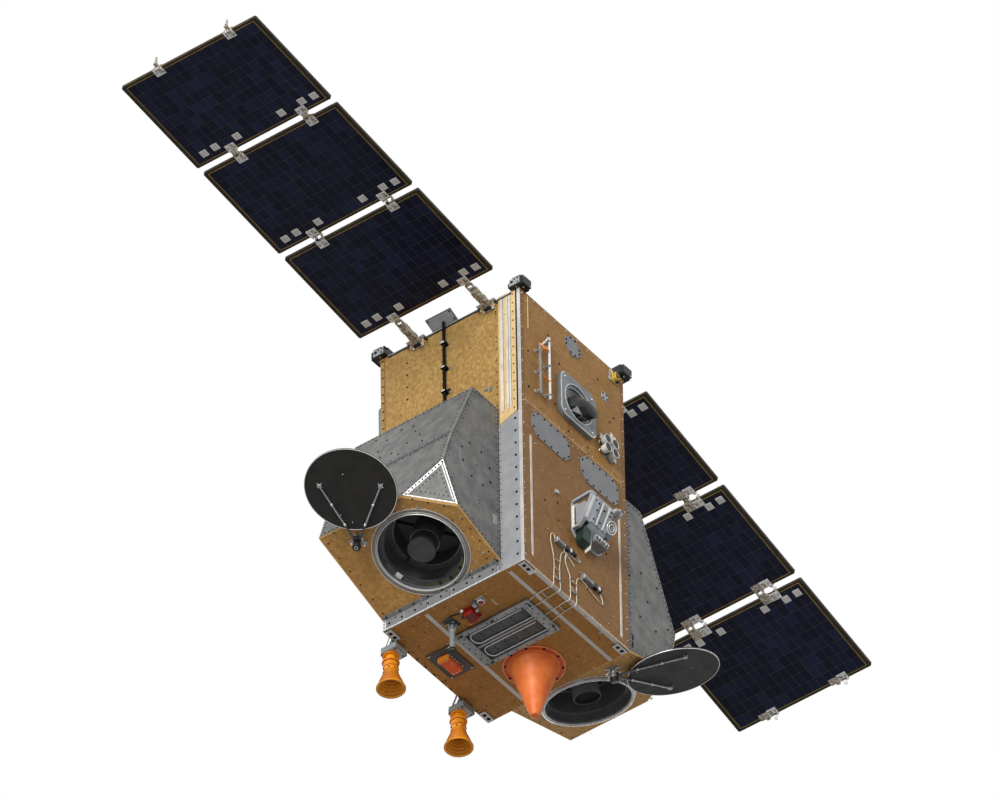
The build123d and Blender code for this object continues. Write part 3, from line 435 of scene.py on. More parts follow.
# ---------------------------------------------------------------- meshes
class Shape:
    """A mesh in the making: corners, faces and the finish of each face."""

    def __init__(self):
        self.corners = []
        self.faces = []
        self.numbers = []
        self.names = []

    def keep(self, faces, finish):
        """Add faces, given by the numbers of their corners, in one finish."""
        if finish not in self.names:
            self.names.append(finish)
        self.faces.extend(faces)
        self.numbers.extend([self.names.index(finish)] * len(faces))

    def loft(self, rings, finish, place=None, wrap=False):
        """A skin over rings of as many points each; closed at its ends, or onto itself where wrap is set."""
        count = len(rings[0])
        start = len(self.corners)
        for corner in (corner for ring in rings for corner in ring):
            point = Vector(corner)
            self.corners.append(place @ point if place else point)
        for band in range(len(rings) if wrap else len(rings) - 1):
            low = start + band * count
            high = start + (band + 1) % len(rings) * count
            faces = [(low + k, low + (k + 1) % count, high + (k + 1) % count, high + k) for k in range(count)]
            self.keep(faces, finish)
        if not wrap:
            last = start + (len(rings) - 1) * count
            self.keep([tuple(start + k for k in reversed(range(count)))], finish)
            self.keep([tuple(last + k for k in range(count))], finish)

    def plate(self, outline, low, high, finish, place=None, bevel=0.0):
        """A flat piece from its outline, with the upper edge bevelled."""
        if area(outline) < 0:
            outline = outline[::-1]
        levels = [(outline, low), (outline, high - bevel)]
        if bevel > 0:
            levels.append((inset(outline, bevel), high))
        self.loft([[(x, y, z) for x, y in line] for line, z in levels], finish, place)

    def strip(self, xs, ys, low, high, finish, place=None, bevel=0.0):
        """A flat rectangular piece between two x and two y."""
        (x0, x1), (y0, y1) = xs, ys
        self.plate([(x0, y0), (x1, y0), (x1, y1), (x0, y1)], low, high, finish, place, bevel)

    def block(self, size, low, high, finish, place=None, bevel=1.5, corner=None):
        """A block with softened edges, standing on its place."""
        cut = corner if corner is not None else min(bevel * 2, min(size) / 4)
        self.plate(rounded(*size, cut, 1), low, high, finish, place, bevel)

    def lathe(self, profile, finish, place, count=48, wrap=False):
        """A turned piece: radius and height along the profile, which closes on itself where wrap is set."""
        self.loft([[(x, y, z) for x, y in circle(radius, count)] for radius, z in profile],
                  finish, place, wrap)

    def frame(self, outer, inner, high, finish, place, edges=None):
        """Flat strips with mitred ends between an outline and a smaller one of as many corners."""
        for k in range(len(outer)) if edges is None else edges:
            after = (k + 1) % len(outer)
            self.plate([outer[k], outer[after], inner[after], inner[k]], 0, high, finish, place)

    def hollow(self, profile, finish, place, count=48):
        """A turned ring, whose profile closes on itself."""
        self.lathe(profile, finish, place, count, wrap=True)

    def band(self, inner, outer, low, high, finish, place, count=48):
        """A plain ring between two radii and two heights."""
        self.hollow([(inner, low), (outer, low), (outer, high), (inner, high)], finish, place, count)

    def tube(self, path, radius, finish, place=None, sides=10):
        """A round bar along a path."""
        points = [Vector(p) for p in path]
        rings = []
        side = None
        for k, point in enumerate(points):
            ahead = points[min(k + 1, len(points) - 1)]
            behind = points[max(k - 1, 0)]
            line = (ahead - behind).normalized()
            if side is None:
                side = line.orthogonal().normalized()
            side = (side - line * side.dot(line)).normalized()
            other = line.cross(side)
            size = radius[k] if isinstance(radius, (list, tuple)) else radius
            rings.append([point + side * size * math.cos(math.tau * i / sides) +
                          other * size * math.sin(math.tau * i / sides) for i in range(sides)])
        self.loft(rings, finish, place)

    def mesh(self, name):
        """The finished mesh, smooth where its faces meet at a small angle."""
        made = bpy.data.meshes.new(name)
        made.from_pydata([tuple(c) for c in self.corners], [], self.faces)
        for finish in self.names:
            made.materials.append(finishes[finish])
        made.polygons.foreach_set("material_index", self.numbers)
        work = bmesh.new()
        work.from_mesh(made)
        bmesh.ops.recalc_face_normals(work, faces=work.faces)
        work.to_mesh(made)
        work.free()
        made.shade_smooth()
        made.set_sharp_from_angle(angle=math.radians(38))
        made.update()
        return made


def new_object(name, data):
    """A new object in the scene."""
    made = bpy.data.objects.new(name, data)
    bpy.context.scene.collection.objects.link(made)
    return made


def settle(made, body, replaced=()):
    """Put a finished object into the model."""
    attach(made, body)
    if replaced:
        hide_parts(*replaced)


def piece(name, shape, body, replaced=()):
    """A finished shape as a piece of the model."""
    settle(new_object(name, shape.mesh(name)), body, replaced)


# ---------------------------------------------------------------- flat faces of the CAD nodes
class Face:
    """A flat face of a CAD node: its place, and its outlines in that place, the outer one first."""

    def __init__(self, normal, place, outlines):
        self.normal = normal
        self.place = place
        self.outlines = outlines
        outer = outlines[0]
        if area(outer) < 0:
            outlines[0] = outer = outer[::-1]
        self.outer = outer
        low = [min(point[i] for point in outer) for i in (0, 1)]
        high = [max(point[i] for point in outer) for i in (0, 1)]
        self.centre = place @ Vector(((low[0] + high[0]) / 2, (low[1] + high[1]) / 2, 0))
        self.area = area(outer)


def simplified(points):
    """A closed outline without the points that lie on a straight line."""
    kept = []
    count = len(points)
    for k in range(count):
        before, here, after = (Vector(points[(k + i) % count]) for i in (-1, 0, 1))
        if (here - before).length < 0.01 or (after - here).length < 0.01:
            continue
        if (here - before).normalized().angle((after - here).normalized(), 0.0) > math.radians(1.0):
            kept.append(tuple(here))
    return kept


def outlines_of(faces, inside):
    """The closed outlines round a set of mesh faces that share a plane."""
    members = set(faces)
    ends = {}
    lookup = {}
    for face in faces:
        for loop in face.loops:
            lookup[loop.vert.index] = loop.vert
            if sum(1 for f in loop.edge.link_faces if f in members) == 1:
                ends.setdefault(loop.vert.index, []).append(loop.link_loop_next.vert.index)
    outlines = []
    while ends:
        here = next(iter(ends))
        line = []
        while here in ends:
            line.append(tuple((inside @ lookup[here].co).xy))
            following = ends[here].pop()
            if not ends[here]:
                del ends[here]
            here = following
        line = simplified(line)
        if len(line) > 2:
            outlines.append(line)
    return sorted(outlines, key=lambda line: -abs(area(line)))


def flat_faces(node, smallest):
    """The flat faces of a CAD node above a smallest area in square metres."""
    work = bmesh.new()
    work.from_mesh(nodes[node].data)
    bmesh.ops.remove_doubles(work, verts=work.verts, dist=1e-5)
    work.verts.index_update()
    groups = {}
    for face in work.faces:
        if face.calc_area() > 1e-9:
            normal = face.normal
            key = tuple(round(v, 2) + 0.0 for v in (*normal, normal.dot(face.verts[0].co)))
            groups.setdefault(key, []).append(face)
    found = []
    for faces in groups.values():
        if sum(face.calc_area() for face in faces) < smallest:
            continue
        normal = faces[0].normal.copy()
        place = seat(faces[0].verts[0].co, RIGHT.cross(normal) if abs(normal.y) < 0.9 else FORE, normal)
        outlines = outlines_of(faces, place.inverted())
        if outlines:
            found.append(Face(normal, place, outlines))
    work.free()
    return found


def outer_faces(node, smallest, middle=None):
    """The flat faces of a CAD node that look away from its middle."""
    if middle is None:
        low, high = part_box(node)
        middle = (low + high) / 2
    return [face for face in flat_faces(node, smallest) if face.normal.dot(face.centre - middle) > 0]


def face_towards(node, direction, smallest=0.01):
    """The flat face of a node that looks most nearly in a direction, and lies furthest that way."""
    direction = Vector(direction).normalized()
    return max(flat_faces(node, smallest),
               key=lambda face: (round(face.normal.dot(direction), 2), face.centre.dot(direction)))


def edge_strips(shape, face, width, high, finish, edges=None, start=0.0):
    """Flat strips with mitred ends just inside a face's outline."""
    outer = inset(face.outer, start) if start else face.outer
    shape.frame(outer, inset(face.outer, start + width), high, finish, face.place, edges)


# ---------------------------------------------------------------- Geometry Nodes
class GrowthTree(NodeTree):
    """A Geometry Nodes tree in the making, with named inputs."""

    def __init__(self, name, inputs):
        super().__init__(bpy.data.node_groups.new(name, "GeometryNodeTree"))
        sockets = self.tree.interface
        sockets.new_socket("Geometry", in_out="INPUT", socket_type="NodeSocketGeometry")
        for label, kind in inputs:
            sockets.new_socket(label, in_out="INPUT", socket_type=kind)
        sockets.new_socket("Geometry", in_out="OUTPUT", socket_type="NodeSocketGeometry")
        self.start = self.tree.nodes.new("NodeGroupInput").outputs

    def attribute(self, name, kind="FLOAT"):
        return self.node("GeometryNodeInputNamedAttribute", {"Name": name},
                         data_type=kind).outputs["Attribute"]

    def finish(self, geometry, material):
        """Real geometry with one material, at the tree's end."""
        real = self.node("GeometryNodeRealizeInstances", {"Geometry": geometry}).outputs["Geometry"]
        coated = self.node("GeometryNodeSetMaterial", {"Geometry": real, "Material": material})
        end = self.tree.nodes.new("NodeGroupOutput")
        self.tree.links.new(coated.outputs["Geometry"], end.inputs[0])
        return self.tree


def grown(name, start, tree, values):
    """The plain mesh that a tree makes from a start mesh."""
    holder = new_object(name, start)
    modifier = holder.modifiers.new("grow", "NODES")
    modifier.node_group = tree
    for item in tree.interface.items_tree:
        if item.in_out == "INPUT" and item.name in values:
            modifier[item.identifier] = values[item.name]
    graph = bpy.context.evaluated_depsgraph_get()
    made = bpy.data.meshes.new_from_object(holder.evaluated_get(graph), preserve_all_data_layers=True,
                                           depsgraph=graph)
    made.name = name
    holder.modifiers.remove(modifier)
    holder.data = made
    return holder


def heads_tree():
    """Fastener heads: at even steps along the start mesh's edges, and on its loose points."""
    tree = GrowthTree("fastener_heads", (("Sides", "NodeSocketInt"), ("Finish", "NodeSocketMaterial")))
    start = tree.start
    rows = tree.node("GeometryNodeMeshToCurve", {"Mesh": start["Geometry"]}).outputs["Curve"]
    rows = tree.node("GeometryNodeResampleCurve", {"Curve": rows, "Length": tree.attribute("pitch")},
                     mode="LENGTH")
    row_points = tree.node("GeometryNodeCurveToPoints", {"Curve": rows.outputs["Curve"]}, mode="EVALUATED")
    neighbours = tree.node("GeometryNodeInputMeshVertexNeighbors").outputs["Vertex Count"]
    alone = tree.node("FunctionNodeCompare", {2: neighbours, 3: 0}, data_type="INT", operation="EQUAL")
    singles = tree.node("GeometryNodeMeshToPoints", {"Mesh": start["Geometry"],
                                                     "Selection": alone.outputs["Result"]})
    points = tree.node("GeometryNodeJoinGeometry").inputs["Geometry"]
    for source in (row_points, singles):
        tree.tree.links.new(source.outputs["Points"], points)
    size = tree.attribute("size")
    turned = tree.node("FunctionNodeAlignRotationToVector",
                       {"Vector": tree.attribute("outward", "FLOAT_VECTOR")}, axis="Z")
    head = tree.node("GeometryNodeMeshCone", {"Vertices": start["Sides"], "Radius Top": 0.62,
                                              "Radius Bottom": 1.0, "Depth": 0.55})
    placed = tree.node("GeometryNodeInstanceOnPoints", {
        "Points": points.node.outputs["Geometry"], "Instance": head.outputs["Mesh"],
        "Rotation": turned.outputs["Rotation"], "Scale": size})
    return tree.finish(placed.outputs["Instances"], start["Finish"])


class Heads:
    """Fasteners of one kind on one body: rows along lines and single ones. Sizes are in millimetres."""

    def __init__(self, name, body, slot, finish, sides=8):
        self.name = name
        self.body = body
        self.slot = slot
        self.finish = finish
        self.sides = sides
        self.points = []
        self.edges = []
        self.values = {"outward": [], "size": [], "pitch": []}

    def note(self, point, place, size, pitch):
        self.points.append(tuple(place @ Vector((*point, 0.0)[:3])))
        for key, value in (("outward", tuple(outward(place))), ("size", size * MM), ("pitch", pitch * MM)):
            self.values[key].append(value)

    def row(self, place, line, size, pitch, closed=False):
        """Heads along a line of points; each stretch from corner to corner is divided evenly."""
        count = len(line)
        for k in range(count if closed else count - 1):
            first, second = Vector(line[k]), Vector(line[(k + 1) % count])
            length = (second - first).length
            if length < pitch * 0.6:
                continue
            start = len(self.points)
            for point in (first, second):
                self.note(point, place, size, length / max(1, round(length / pitch)))
            self.edges.append((start, start + 1))

    def spots(self, place, points, size):
        for point in points:
            self.note(point, place, size, 1000.0)

    def ring(self, place, radius, count, size, start=0.0):
        """Heads evenly round a circle."""
        for k in range(count):
            angle = math.tau * k / count + math.radians(start)
            self.note(polar(radius, angle), place, size, 1000.0)

    def make(self, tree):
        start = bpy.data.meshes.new(self.name)
        start.from_pydata(self.points, self.edges, [])
        outward_values = start.attributes.new("outward", "FLOAT_VECTOR", "POINT")
        outward_values.data.foreach_set("vector", [v for vector in self.values["outward"] for v in vector])
        for key in ("size", "pitch"):
            start.attributes.new(key, "FLOAT", "POINT").data.foreach_set("value", self.values[key])
        made = grown(self.name, start, tree, {"Sides": self.sides, "Finish": finishes[self.finish]})
        settle(made, self.body)


head_kinds = {
    "rivet": ("black_paint", "black_bolt", 7),
    "black": ("black_paint", "black_bolt", 10),
    "silver": ("machined_aluminium", "bright_edge", 8),
}
all_heads = {}


def heads(kind, body="bus"):
    """The fasteners of one kind on one body, started when they are first asked for."""
    if (kind, body) not in all_heads:
        all_heads[kind, body] = Heads(f"{body}_{kind}_heads", body, *head_kinds[kind])
    return all_heads[kind, body]


# ---------------------------------------------------------------- finishes of the CAD nodes
node_finishes = {
    "machined": ("launch_ring", "fore_cover_bracket", "aft_cover_bracket", "fore_cover_struts",
                 "aft_cover_struts"),
    "wall_foil": ("right_lower_wall", "left_lower_wall", "corner_posts"),
    "upper_foil": ("right_upper_wall", "left_upper_wall", "aft_wall", "zenith_panel"),
    "fore_foil": ("fore_wall",),
    "earth_foil": ("earth_panel",),
    "front_foil": ("fore_camera_front", "aft_camera_front"),
    "housing_sheet": ("fore_camera_housing", "aft_camera_housing"),
    "light_sheet": ("fore_sill",),
    "plate_sheet": ("access_plates", "top_tray", "wall_connectors"),
    "radiator_grey": ("radiator_plate",),
    "barrel_black": ("fore_camera_barrel", "aft_camera_barrel"),
    "hub_black": ("fore_camera_hub", "aft_camera_hub"),
    "black_paint": ("star_baffles", "corner_brackets"),
    "black_bolt": ("rod_antenna",),
    "mount_grey": ("sensor_plate",),
    "bright_edge": ("fore_camera_ring", "aft_camera_ring"),
    "bezel_grey": ("star_bezels",),
    "blue_grey_paint": ("side_instrument",),
    "grey_paint": ("horn_mounts", "earth_mast", "thruster_cluster"),
    "cover_black": ("fore_cover_disc", "aft_cover_disc"),
    "wrapped_foil": ("fore_wing_arms", "aft_wing_arms", "fore_inner_hinges", "fore_mid_hinges",
                     "fore_outer_hinges", "aft_inner_hinges", "aft_mid_hinges", "aft_outer_hinges"),
    "copper_paint": ("cone_antenna",),
    "amber_paint": ("horn_antennas",),
    "orange_paint": ("sensor_unit",),
    "red_paint": ("beacon_unit",),
    "white_paint": ("sun_sensor", "sensor_rods"),
    "panel_edge": tuple(f"{wing}_{part}_panel" for wing in ("fore", "aft")
                        for part in ("inner", "mid", "outer")),
}


def coat_nodes():
    """Give every CAD node its finish."""
    for finish, names in node_finishes.items():
        for name in names:
            materials = nodes[name].data.materials
            materials.clear()
            materials.append(finishes[finish])


# ---------------------------------------------------------------- bus: strips and fasteners
def make_bus_trim():
    make_fore_wall_trim()
    make_right_wall_trim()
    make_earth_trim()


def make_fore_wall_trim():
    """The flat strips beside the forward camera, with their bolts, and the bright corner angle."""
    strips = Shape()
    black = heads("black")
    wall = on_fore(0, 0)
    # the wide strip beside the camera, with large bolts on one side and small ones on the other
    strips.plate([(404, 2), (573, 2), (573, 1392), (404, 1330)], 0, 2.5, "light_sheet", wall, 0.8)
    black.row(wall, [(545, 86), (545, 1329)], 12, 113)
    black.row(wall, [(414, 60), (414, 1320)], 6.5, 52)
    # the bright corner angle and the dark joint beside it
    strips.strip((574, 600), (2, tall - 2), 0, 5, "bright_edge", wall, 1.2)
    strips.plate([(561, 1392), (573, 1394), (573, tall - 2), (561, tall - 2)], 0, 1.2, "black_bolt", wall)
    # the upper strip, with three taped cables on it
    strips.plate([(413, 1340), (558, 1398), (558, 2518), (413, 2518)], 0, 2.2, "strip_foil", wall, 0.8)
    for low, high in ((427, 452), (477, 496), (500, 517)):
        strips.plate([(low, 1452), (high, 1458), (high, 2506), (low, 2506)], 2.2, 3.4,
                     "white_tape", wall, 0.4)
        strips.strip((high, high + 3), (1458, 2506), 2.2, 2.8, "dark_metal", wall)
    black.row(wall, [(538, 1430), (538, 2480)], 8, 75)
    black.spots(wall, [(440, 1440), (488, 1446), (440, 2080), (470, 1700), (470, 2330), (470, 1960)], 5.0)
    black.spots(wall, [(7, 2490), (104, 2492), (191, 2490), (260, 2492), (370, 2490), (390, 2400),
                       (392, 2120), (394, 1700), (-120, 2490), (-250, 2492), (-380, 2490), (-500, 2492)], 6.0)
    black.spots(wall, [(343, 2200), (162, 2196), (355, 2185), (382, 1866), (-180, 2100), (-350, 2300),
                       (-430, 1900)], 4.5)
    # the foil over the other corner, and the rows of bolts between
    strips.strip((-600, -570), (100, tall - 2), 0, 1.0, "fore_foil", wall)
    black.row(shifted(wall, z=1), [(-580, 140), (-580, 2480)], 7.5, 75)
    for y, low, high, size, pitch in ((-371, 2012, 2350, 8, 112), (-72, 1922, 2360, 5, 55),
                                      (394, 1420, 2480, 6, 108)):
        black.row(wall, [(y, low), (y, high)], size, pitch)
    piece("fore_wall_strips", strips, "bus")


# what stands on the +Y wall: its middle by x and height, and half its width and height
wall_equipment = ((-158, 865, 200, 260), (372, 1900, 110, 320), (-20, 1843, 230, 230), (-403, 1700, 110, 140),
                  (268, 1360, 230, 135), (-289, 1350, 230, 140), (0, 2385, 110, 100), (60, 360, 320, 110))


def seam_and_tapes(trim, wall):
    """The seam between a side's lower and upper wall, with a pale strip along it that is a painted highlight
    on the seam's edge, and the two tapes below it.
    """
    # painted highlight: a pale strip where the seam's edge catches the light
    trim.strip((-556, 556), (1496, 1503), 0, 3, "strip_foil", wall, 1.0)
    for x, low, high in ((-496, 112, 1205), (509, 75, 1213)):
        trim.plate([(x - 11, low), (x + 9, low - 6), (x + 11, high - 8), (x, high + 12), (x - 11, high - 6)],
                   0, 3, "white_tape", wall, 1.0)


def make_right_wall_trim():
    """Seam, tape strips, screws and buttons on the +Y wall."""
    trim = Shape()
    black, silver = heads("black"), heads("silver")
    wall = on_right(0, 0)
    seam_and_tapes(trim, wall)
    trim.plate([(-506, 2190), (-500, 2190), (-499, 2488), (-507, 2488)], 0, 4, "strip_foil", wall, 1.5)
    black.spots(wall, [(-275, 2291), (-508, 1981), (-508, 1647), (-202, 1706), (293, 2293), (424, 1988),
                       (-344, 723), (-199, 800), (-195, 643), (203, 640), (352, 723), (163, 1564),
                       (161, 1504), (429, 1655), (-506, 1655), (40, 1655), (470, 2060), (-150, 2120),
                       (-60, 1560)], 8.5)
    for low, high in ((60, 1480), (1520, 2470)):
        for x in (576, 570, -574):
            silver.row(wall, [(-x, low + x % 40), (-x, high)], 4.0, 105 if x != 570 else 210)
    for reach, h, size, pitch in ((560, tall - 22, 4.5, 118), (540, 1478, 3.6, 96), (540, 1524, 3.6, 104),
                                  (540, 20, 3.6, 88)):
        silver.row(wall, [(-reach, h), (reach, h)], size, pitch)
    scatter = random.Random(11)
    for _ in range(46):
        x, h = scatter.uniform(-530, 530), scatter.uniform(60, 2440)
        if all(abs(x - a) > w or abs(h - b) > t for a, b, w, t in wall_equipment):
            silver.spots(wall, [(-x, h)], 3.4)
    for face in outer_faces("access_plates", 0.02, Vector((0, 0, bus_low.z))):
        if abs(face.normal.y) > 0.9:
            for outline in face.outlines:
                outline = outline if area(outline) > 0 else outline[::-1]
                black.row(face.place, inset(outline, 17), 8.5, 82, closed=True)
    piece("right_wall_trim", trim, "bus")


def make_earth_trim():
    """Strips, tabs and screws on the earth face."""
    trim = Shape()
    silver, black = heads("silver"), heads("black")
    face = on_earth(0, 0)
    trim.strip((-587, 557), (-464, -436), 0, 2.6, "warm_sheet", face, 0.8)
    trim.strip((-470, 470), (-600, -573), 0, 3, "warm_sheet", face, 1.0)
    trim.plate([(-545, 253), (556, 246), (556, 276), (-545, 283)], 0, 2.6, "warm_sheet", face, 0.8)
    trim.strip((452, 472), (-597, -537), 3, 6, "white_paint", face, 0.8)
    trim.strip((-590, 590), (3, 13), 0, 2.4, "warm_sheet", on_right(0, 0), 0.6)
    for k in range(12):
        trim.block((16, 10), 0, 7, "black_paint",
                   shifted(face, -540 + 96 * k, 590, 0, (k * 37) % 24 - 12), bevel=1.2)
    black.row(face, [(-520, 572), (540, 572)], 4.6, 74)
    for x, y in ((-459, 584), (-309, 567), (-268, 590), (-120, 580), (60, 584), (230, 580)):
        trim.block((22, 12), 3, 10, "machined", shifted(face, x, -y, 0, 12))
    for y in (-590, 12, 330, 590):
        silver.row(face, [(-570, y), (570, y)], 3.6, 120 if y != 12 else 300)
    for x in (-575, -480, 480, 572):
        silver.row(face, [(x, -560), (x, 560)], 3.6, 125)
    black.spots(face, [(520, 400), (540, 120), (-440, 500), (-520, 320), (300, 560), (-60, 565), (-260, 420),
                       (420, 380), (330, 500), (-420, -300), (-360, -520), (560, -300)], 5.5)
    piece("earth_face_trim", trim, "bus")


# ---------------------------------------------------------------- camera housings: rivets and strips
def make_housing_trim():
    """Rivet rows along every edge of both housings, bolts on their sides, and strips on the cut corner."""
    for name in ("fore", "aft"):
        strips = Shape()
        rivet = heads("rivet")
        for face in outer_faces(f"{name}_camera_housing", 0.03):
            if face.normal.z < -0.5 or abs(face.normal.x) > 0.97:
                continue
            if abs(face.normal.y) > 0.2 and abs(face.normal.x) > 0.2:
                make_cut_trim(strips, face)
            else:
                edge_strips(strips, face, 24, 1.0, "housing_sheet")
                if abs(face.normal.y) < 0.2:
                    make_ridges(strips, face)
                rivet.row(face.place, inset(face.outer, 14), 6.4, 34, closed=True)
                rivet.row(face.place, inset(face.outer, 36), 4.8, 62, closed=True)
        piece(f"{name}_housing_strips", strips, "bus")
    make_slope_bolts()
    make_side_bolts()


def make_ridges(strips, face):
    """A light strip up each sloping edge of a slope, and a darker band along the crease between two, which is
    painted shade standing for the crease's shadow.
    """
    corners = [face.place @ Vector((*point, 0)) for point in face.outer]
    for k, corner in enumerate(corners):
        run = corners[(k + 1) % len(corners)] - corner
        height = (corner.z + run.z / 2 - bus_low.z) / MM
        if abs(run.y) < 0.7 * run.length:
            edge_strips(strips, face, 13, 2.6, "ridge_sheet", [k])
        elif 420 < height < 1250:
            # painted shade: a darker band along the crease
            edge_strips(strips, face, 11, 3.2, "crease_sheet", [k])


def make_cut_trim(strips, face):
    """The cut corner of a housing: a riveted strip up its outer edge and plain double ones elsewhere."""
    rivet = heads("rivet")
    count = len(face.outer)
    middles = [face.place @ Vector((*((Vector(face.outer[k]) + Vector(face.outer[(k + 1) % count])) / 2), 0))
               for k in range(count)]
    outermost = max(range(count), key=lambda k: middles[k].z - middles[k].y * 0.8)
    lowest = min(range(count), key=lambda k: middles[k].z)
    for k in range(count):
        if k == outermost:
            edge_strips(strips, face, 22, 1.8, "bright_edge", [k])
            line = inset(face.outer, 11)
            heads("black").row(shifted(face.place, z=1.8), [line[k], line[(k + 1) % count]], 7.0, 31)
        elif k == lowest:
            edge_strips(strips, face, 8, 1.8, "bright_edge", [k])
        else:
            edge_strips(strips, face, 8, 1.8, "bright_edge", [k])
            edge_strips(strips, face, 6, 1.8, "bright_edge", [k], start=17)
    rivet.row(face.place, inset(face.outer, 44), 5.2, 31, closed=True)


def make_slope_bolts():
    """Bolts on the forward housing's upper and lower slopes, set out by x and y."""
    black = heads("black")
    slopes = [face for face in outer_faces("fore_camera_housing", 0.03) if abs(face.normal.y) < 0.2]
    for s, y in ((468, -55), (514, -171), (354, -6), (461, -281), (213, -39), (337, -324),
                 (171, -158), (207, -269), (120, -420), (300, -480), (420, -520), (90, -80), (60, -300),
                 (560, -400), (250, 60), (110, 120)):
        place = shifted(seat(spot(1130, 0, 898), RIGHT, Vector((588, 0, 246))), y, s)
        for face in slopes:
            if face.normal.dot(outward(place)) > 0.999:
                black.spots(place, [(0, 0)], 8.5)


def make_side_bolts():
    """Bolts, seams and louvres on the two housings' +Y sides."""
    black, rivet = heads("black"), heads("rivet")
    trim = Shape()
    fore = seat(spot(0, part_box("fore_camera_housing")[1].y / MM, 0), -FORE, RIGHT)
    black.spots(fore, [(-1020, 839), (-931, 936), (-800, 943), (-1009, 725), (-914, 646), (-786, 653),
                       (-700, 738), (-708, 860)], 9.5)
    rivet.spots(fore, [(-850, 790), (-724, 1071), (-725, 1015), (-826, 486), (-826, 452), (-640, 1200),
                       (-638, 620), (-900, 1040), (-1090, 640), (-1120, 520)], 5.0)
    curve = [(-1041, 817), (-1044, 740), (-1012, 655), (-955, 629), (-881, 622), (-798, 646)]
    trim.tube([(x, h, 1) for x, h in curve], 2.2, "light_sheet", fore, 6)
    for k in range(5):
        trim.block((44, 7), 0, 4, "bright_edge", shifted(fore, -655, 395 + 17 * k, 0, 8))
    aft = seat(spot(0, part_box("aft_camera_housing")[1].y / MM, 0), -FORE, RIGHT)
    black.spots(aft, [(750, 828), (934, 819), (820, 611), (729, 416), (909, 406), (1049, 521), (1059, 691),
                      (615, 711)], 9.5)
    rivet.spots(aft, [(700, 1000), (640, 1180), (680, 560), (860, 960), (1000, 300), (1160, 420), (840, 250),
                      (760, 160)], 4.6)
    for x, h in ((637, 160), (635, 98)):
        trim.block((14, 46), 0, 3, "black_bolt", shifted(aft, x, h), bevel=1.0)
    for first, second in (((610, 546), (833, 393)), ((833, 393), (1120, 200))):
        trim.tube([(*first, 0.6), (*second, 0.6)], 1.6, "light_sheet", aft, 6)
    piece("housing_side_trim", trim, "bus")


# ---------------------------------------------------------------- cameras
class Camera:
    """A camera's places: its front panel, with the mouth's middle as the origin, and its cover's pivot."""

    def __init__(self, name, sign, lens_t, lens_y):
        joint = joints[f"{name}_cover_swing"]
        self.name = name
        self.lens = (lens_t, lens_y)
        self.inward = Vector(joint["axis"]).normalized()
        low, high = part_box(f"{name}_camera_ring")
        middle = (low + high) / 2 + self.inward * 7 * MM
        self.front = seat(middle, FORE * sign, -self.inward)
        self.pivot = seat(Vector(joint["pos_m"]), FORE * sign, -self.inward)
        disc = face_towards(f"{name}_cover_disc", -self.inward, 0.05)
        arm = disc.centre - Vector(joint["pos_m"])
        self.cover = seat(disc.centre, arm, -self.inward)

    def at(self, points):
        """Places on the front panel: outwards from its inner edge, and along the camera's own y."""
        return [(t - self.lens[0], self.lens[1] - y) for t, y in points]


def sector(shape, place, inner, outer, start, end, low, high, finish, steps=14):
    """A flat piece of a ring between two angles in degrees."""
    angles = [math.radians(start + (end - start) * k / steps) for k in range(steps + 1)]
    line = [polar(outer, a) for a in angles]
    line += [polar(inner, a) for a in reversed(angles)]
    shape.plate(line, low, high, finish, place)


def hoop(shape, place, radius, wire, height, finish, count=72, sides=6):
    """A thin round ring lying at a height."""
    profile = [(radius + wire * math.cos(math.tau * k / sides),
                height + wire * math.sin(math.tau * k / sides))
               for k in range(sides)]
    shape.hollow(profile, finish, place, count)


mouth_r = 300.5     # radius of a camera's mouth
liner_r = 270.5     # of the narrower bore inside it
cell_r = 236.5      # and of the opening over the mirror


def make_cameras():
    fore = Camera("fore", 1, 334.0, -38.0)
    aft = Camera("aft", -1, 334.0, -14.0)
    make_fore_mouth(fore)
    make_aft_mouth(aft)
    make_fronts(fore, aft)
    for camera in (fore, aft):
        make_cover(camera)
        make_bracket_trim(camera)


def make_vanes(inside, place):
    """The four vanes' bright lower edges, deep in a barrel."""
    for k in range(4):
        turn = math.radians(-45 - 90 * k)
        inside.tube([(*polar(104, turn), -268), (*polar(236, turn), -268)], 3.2, "dark_metal", place, 8)


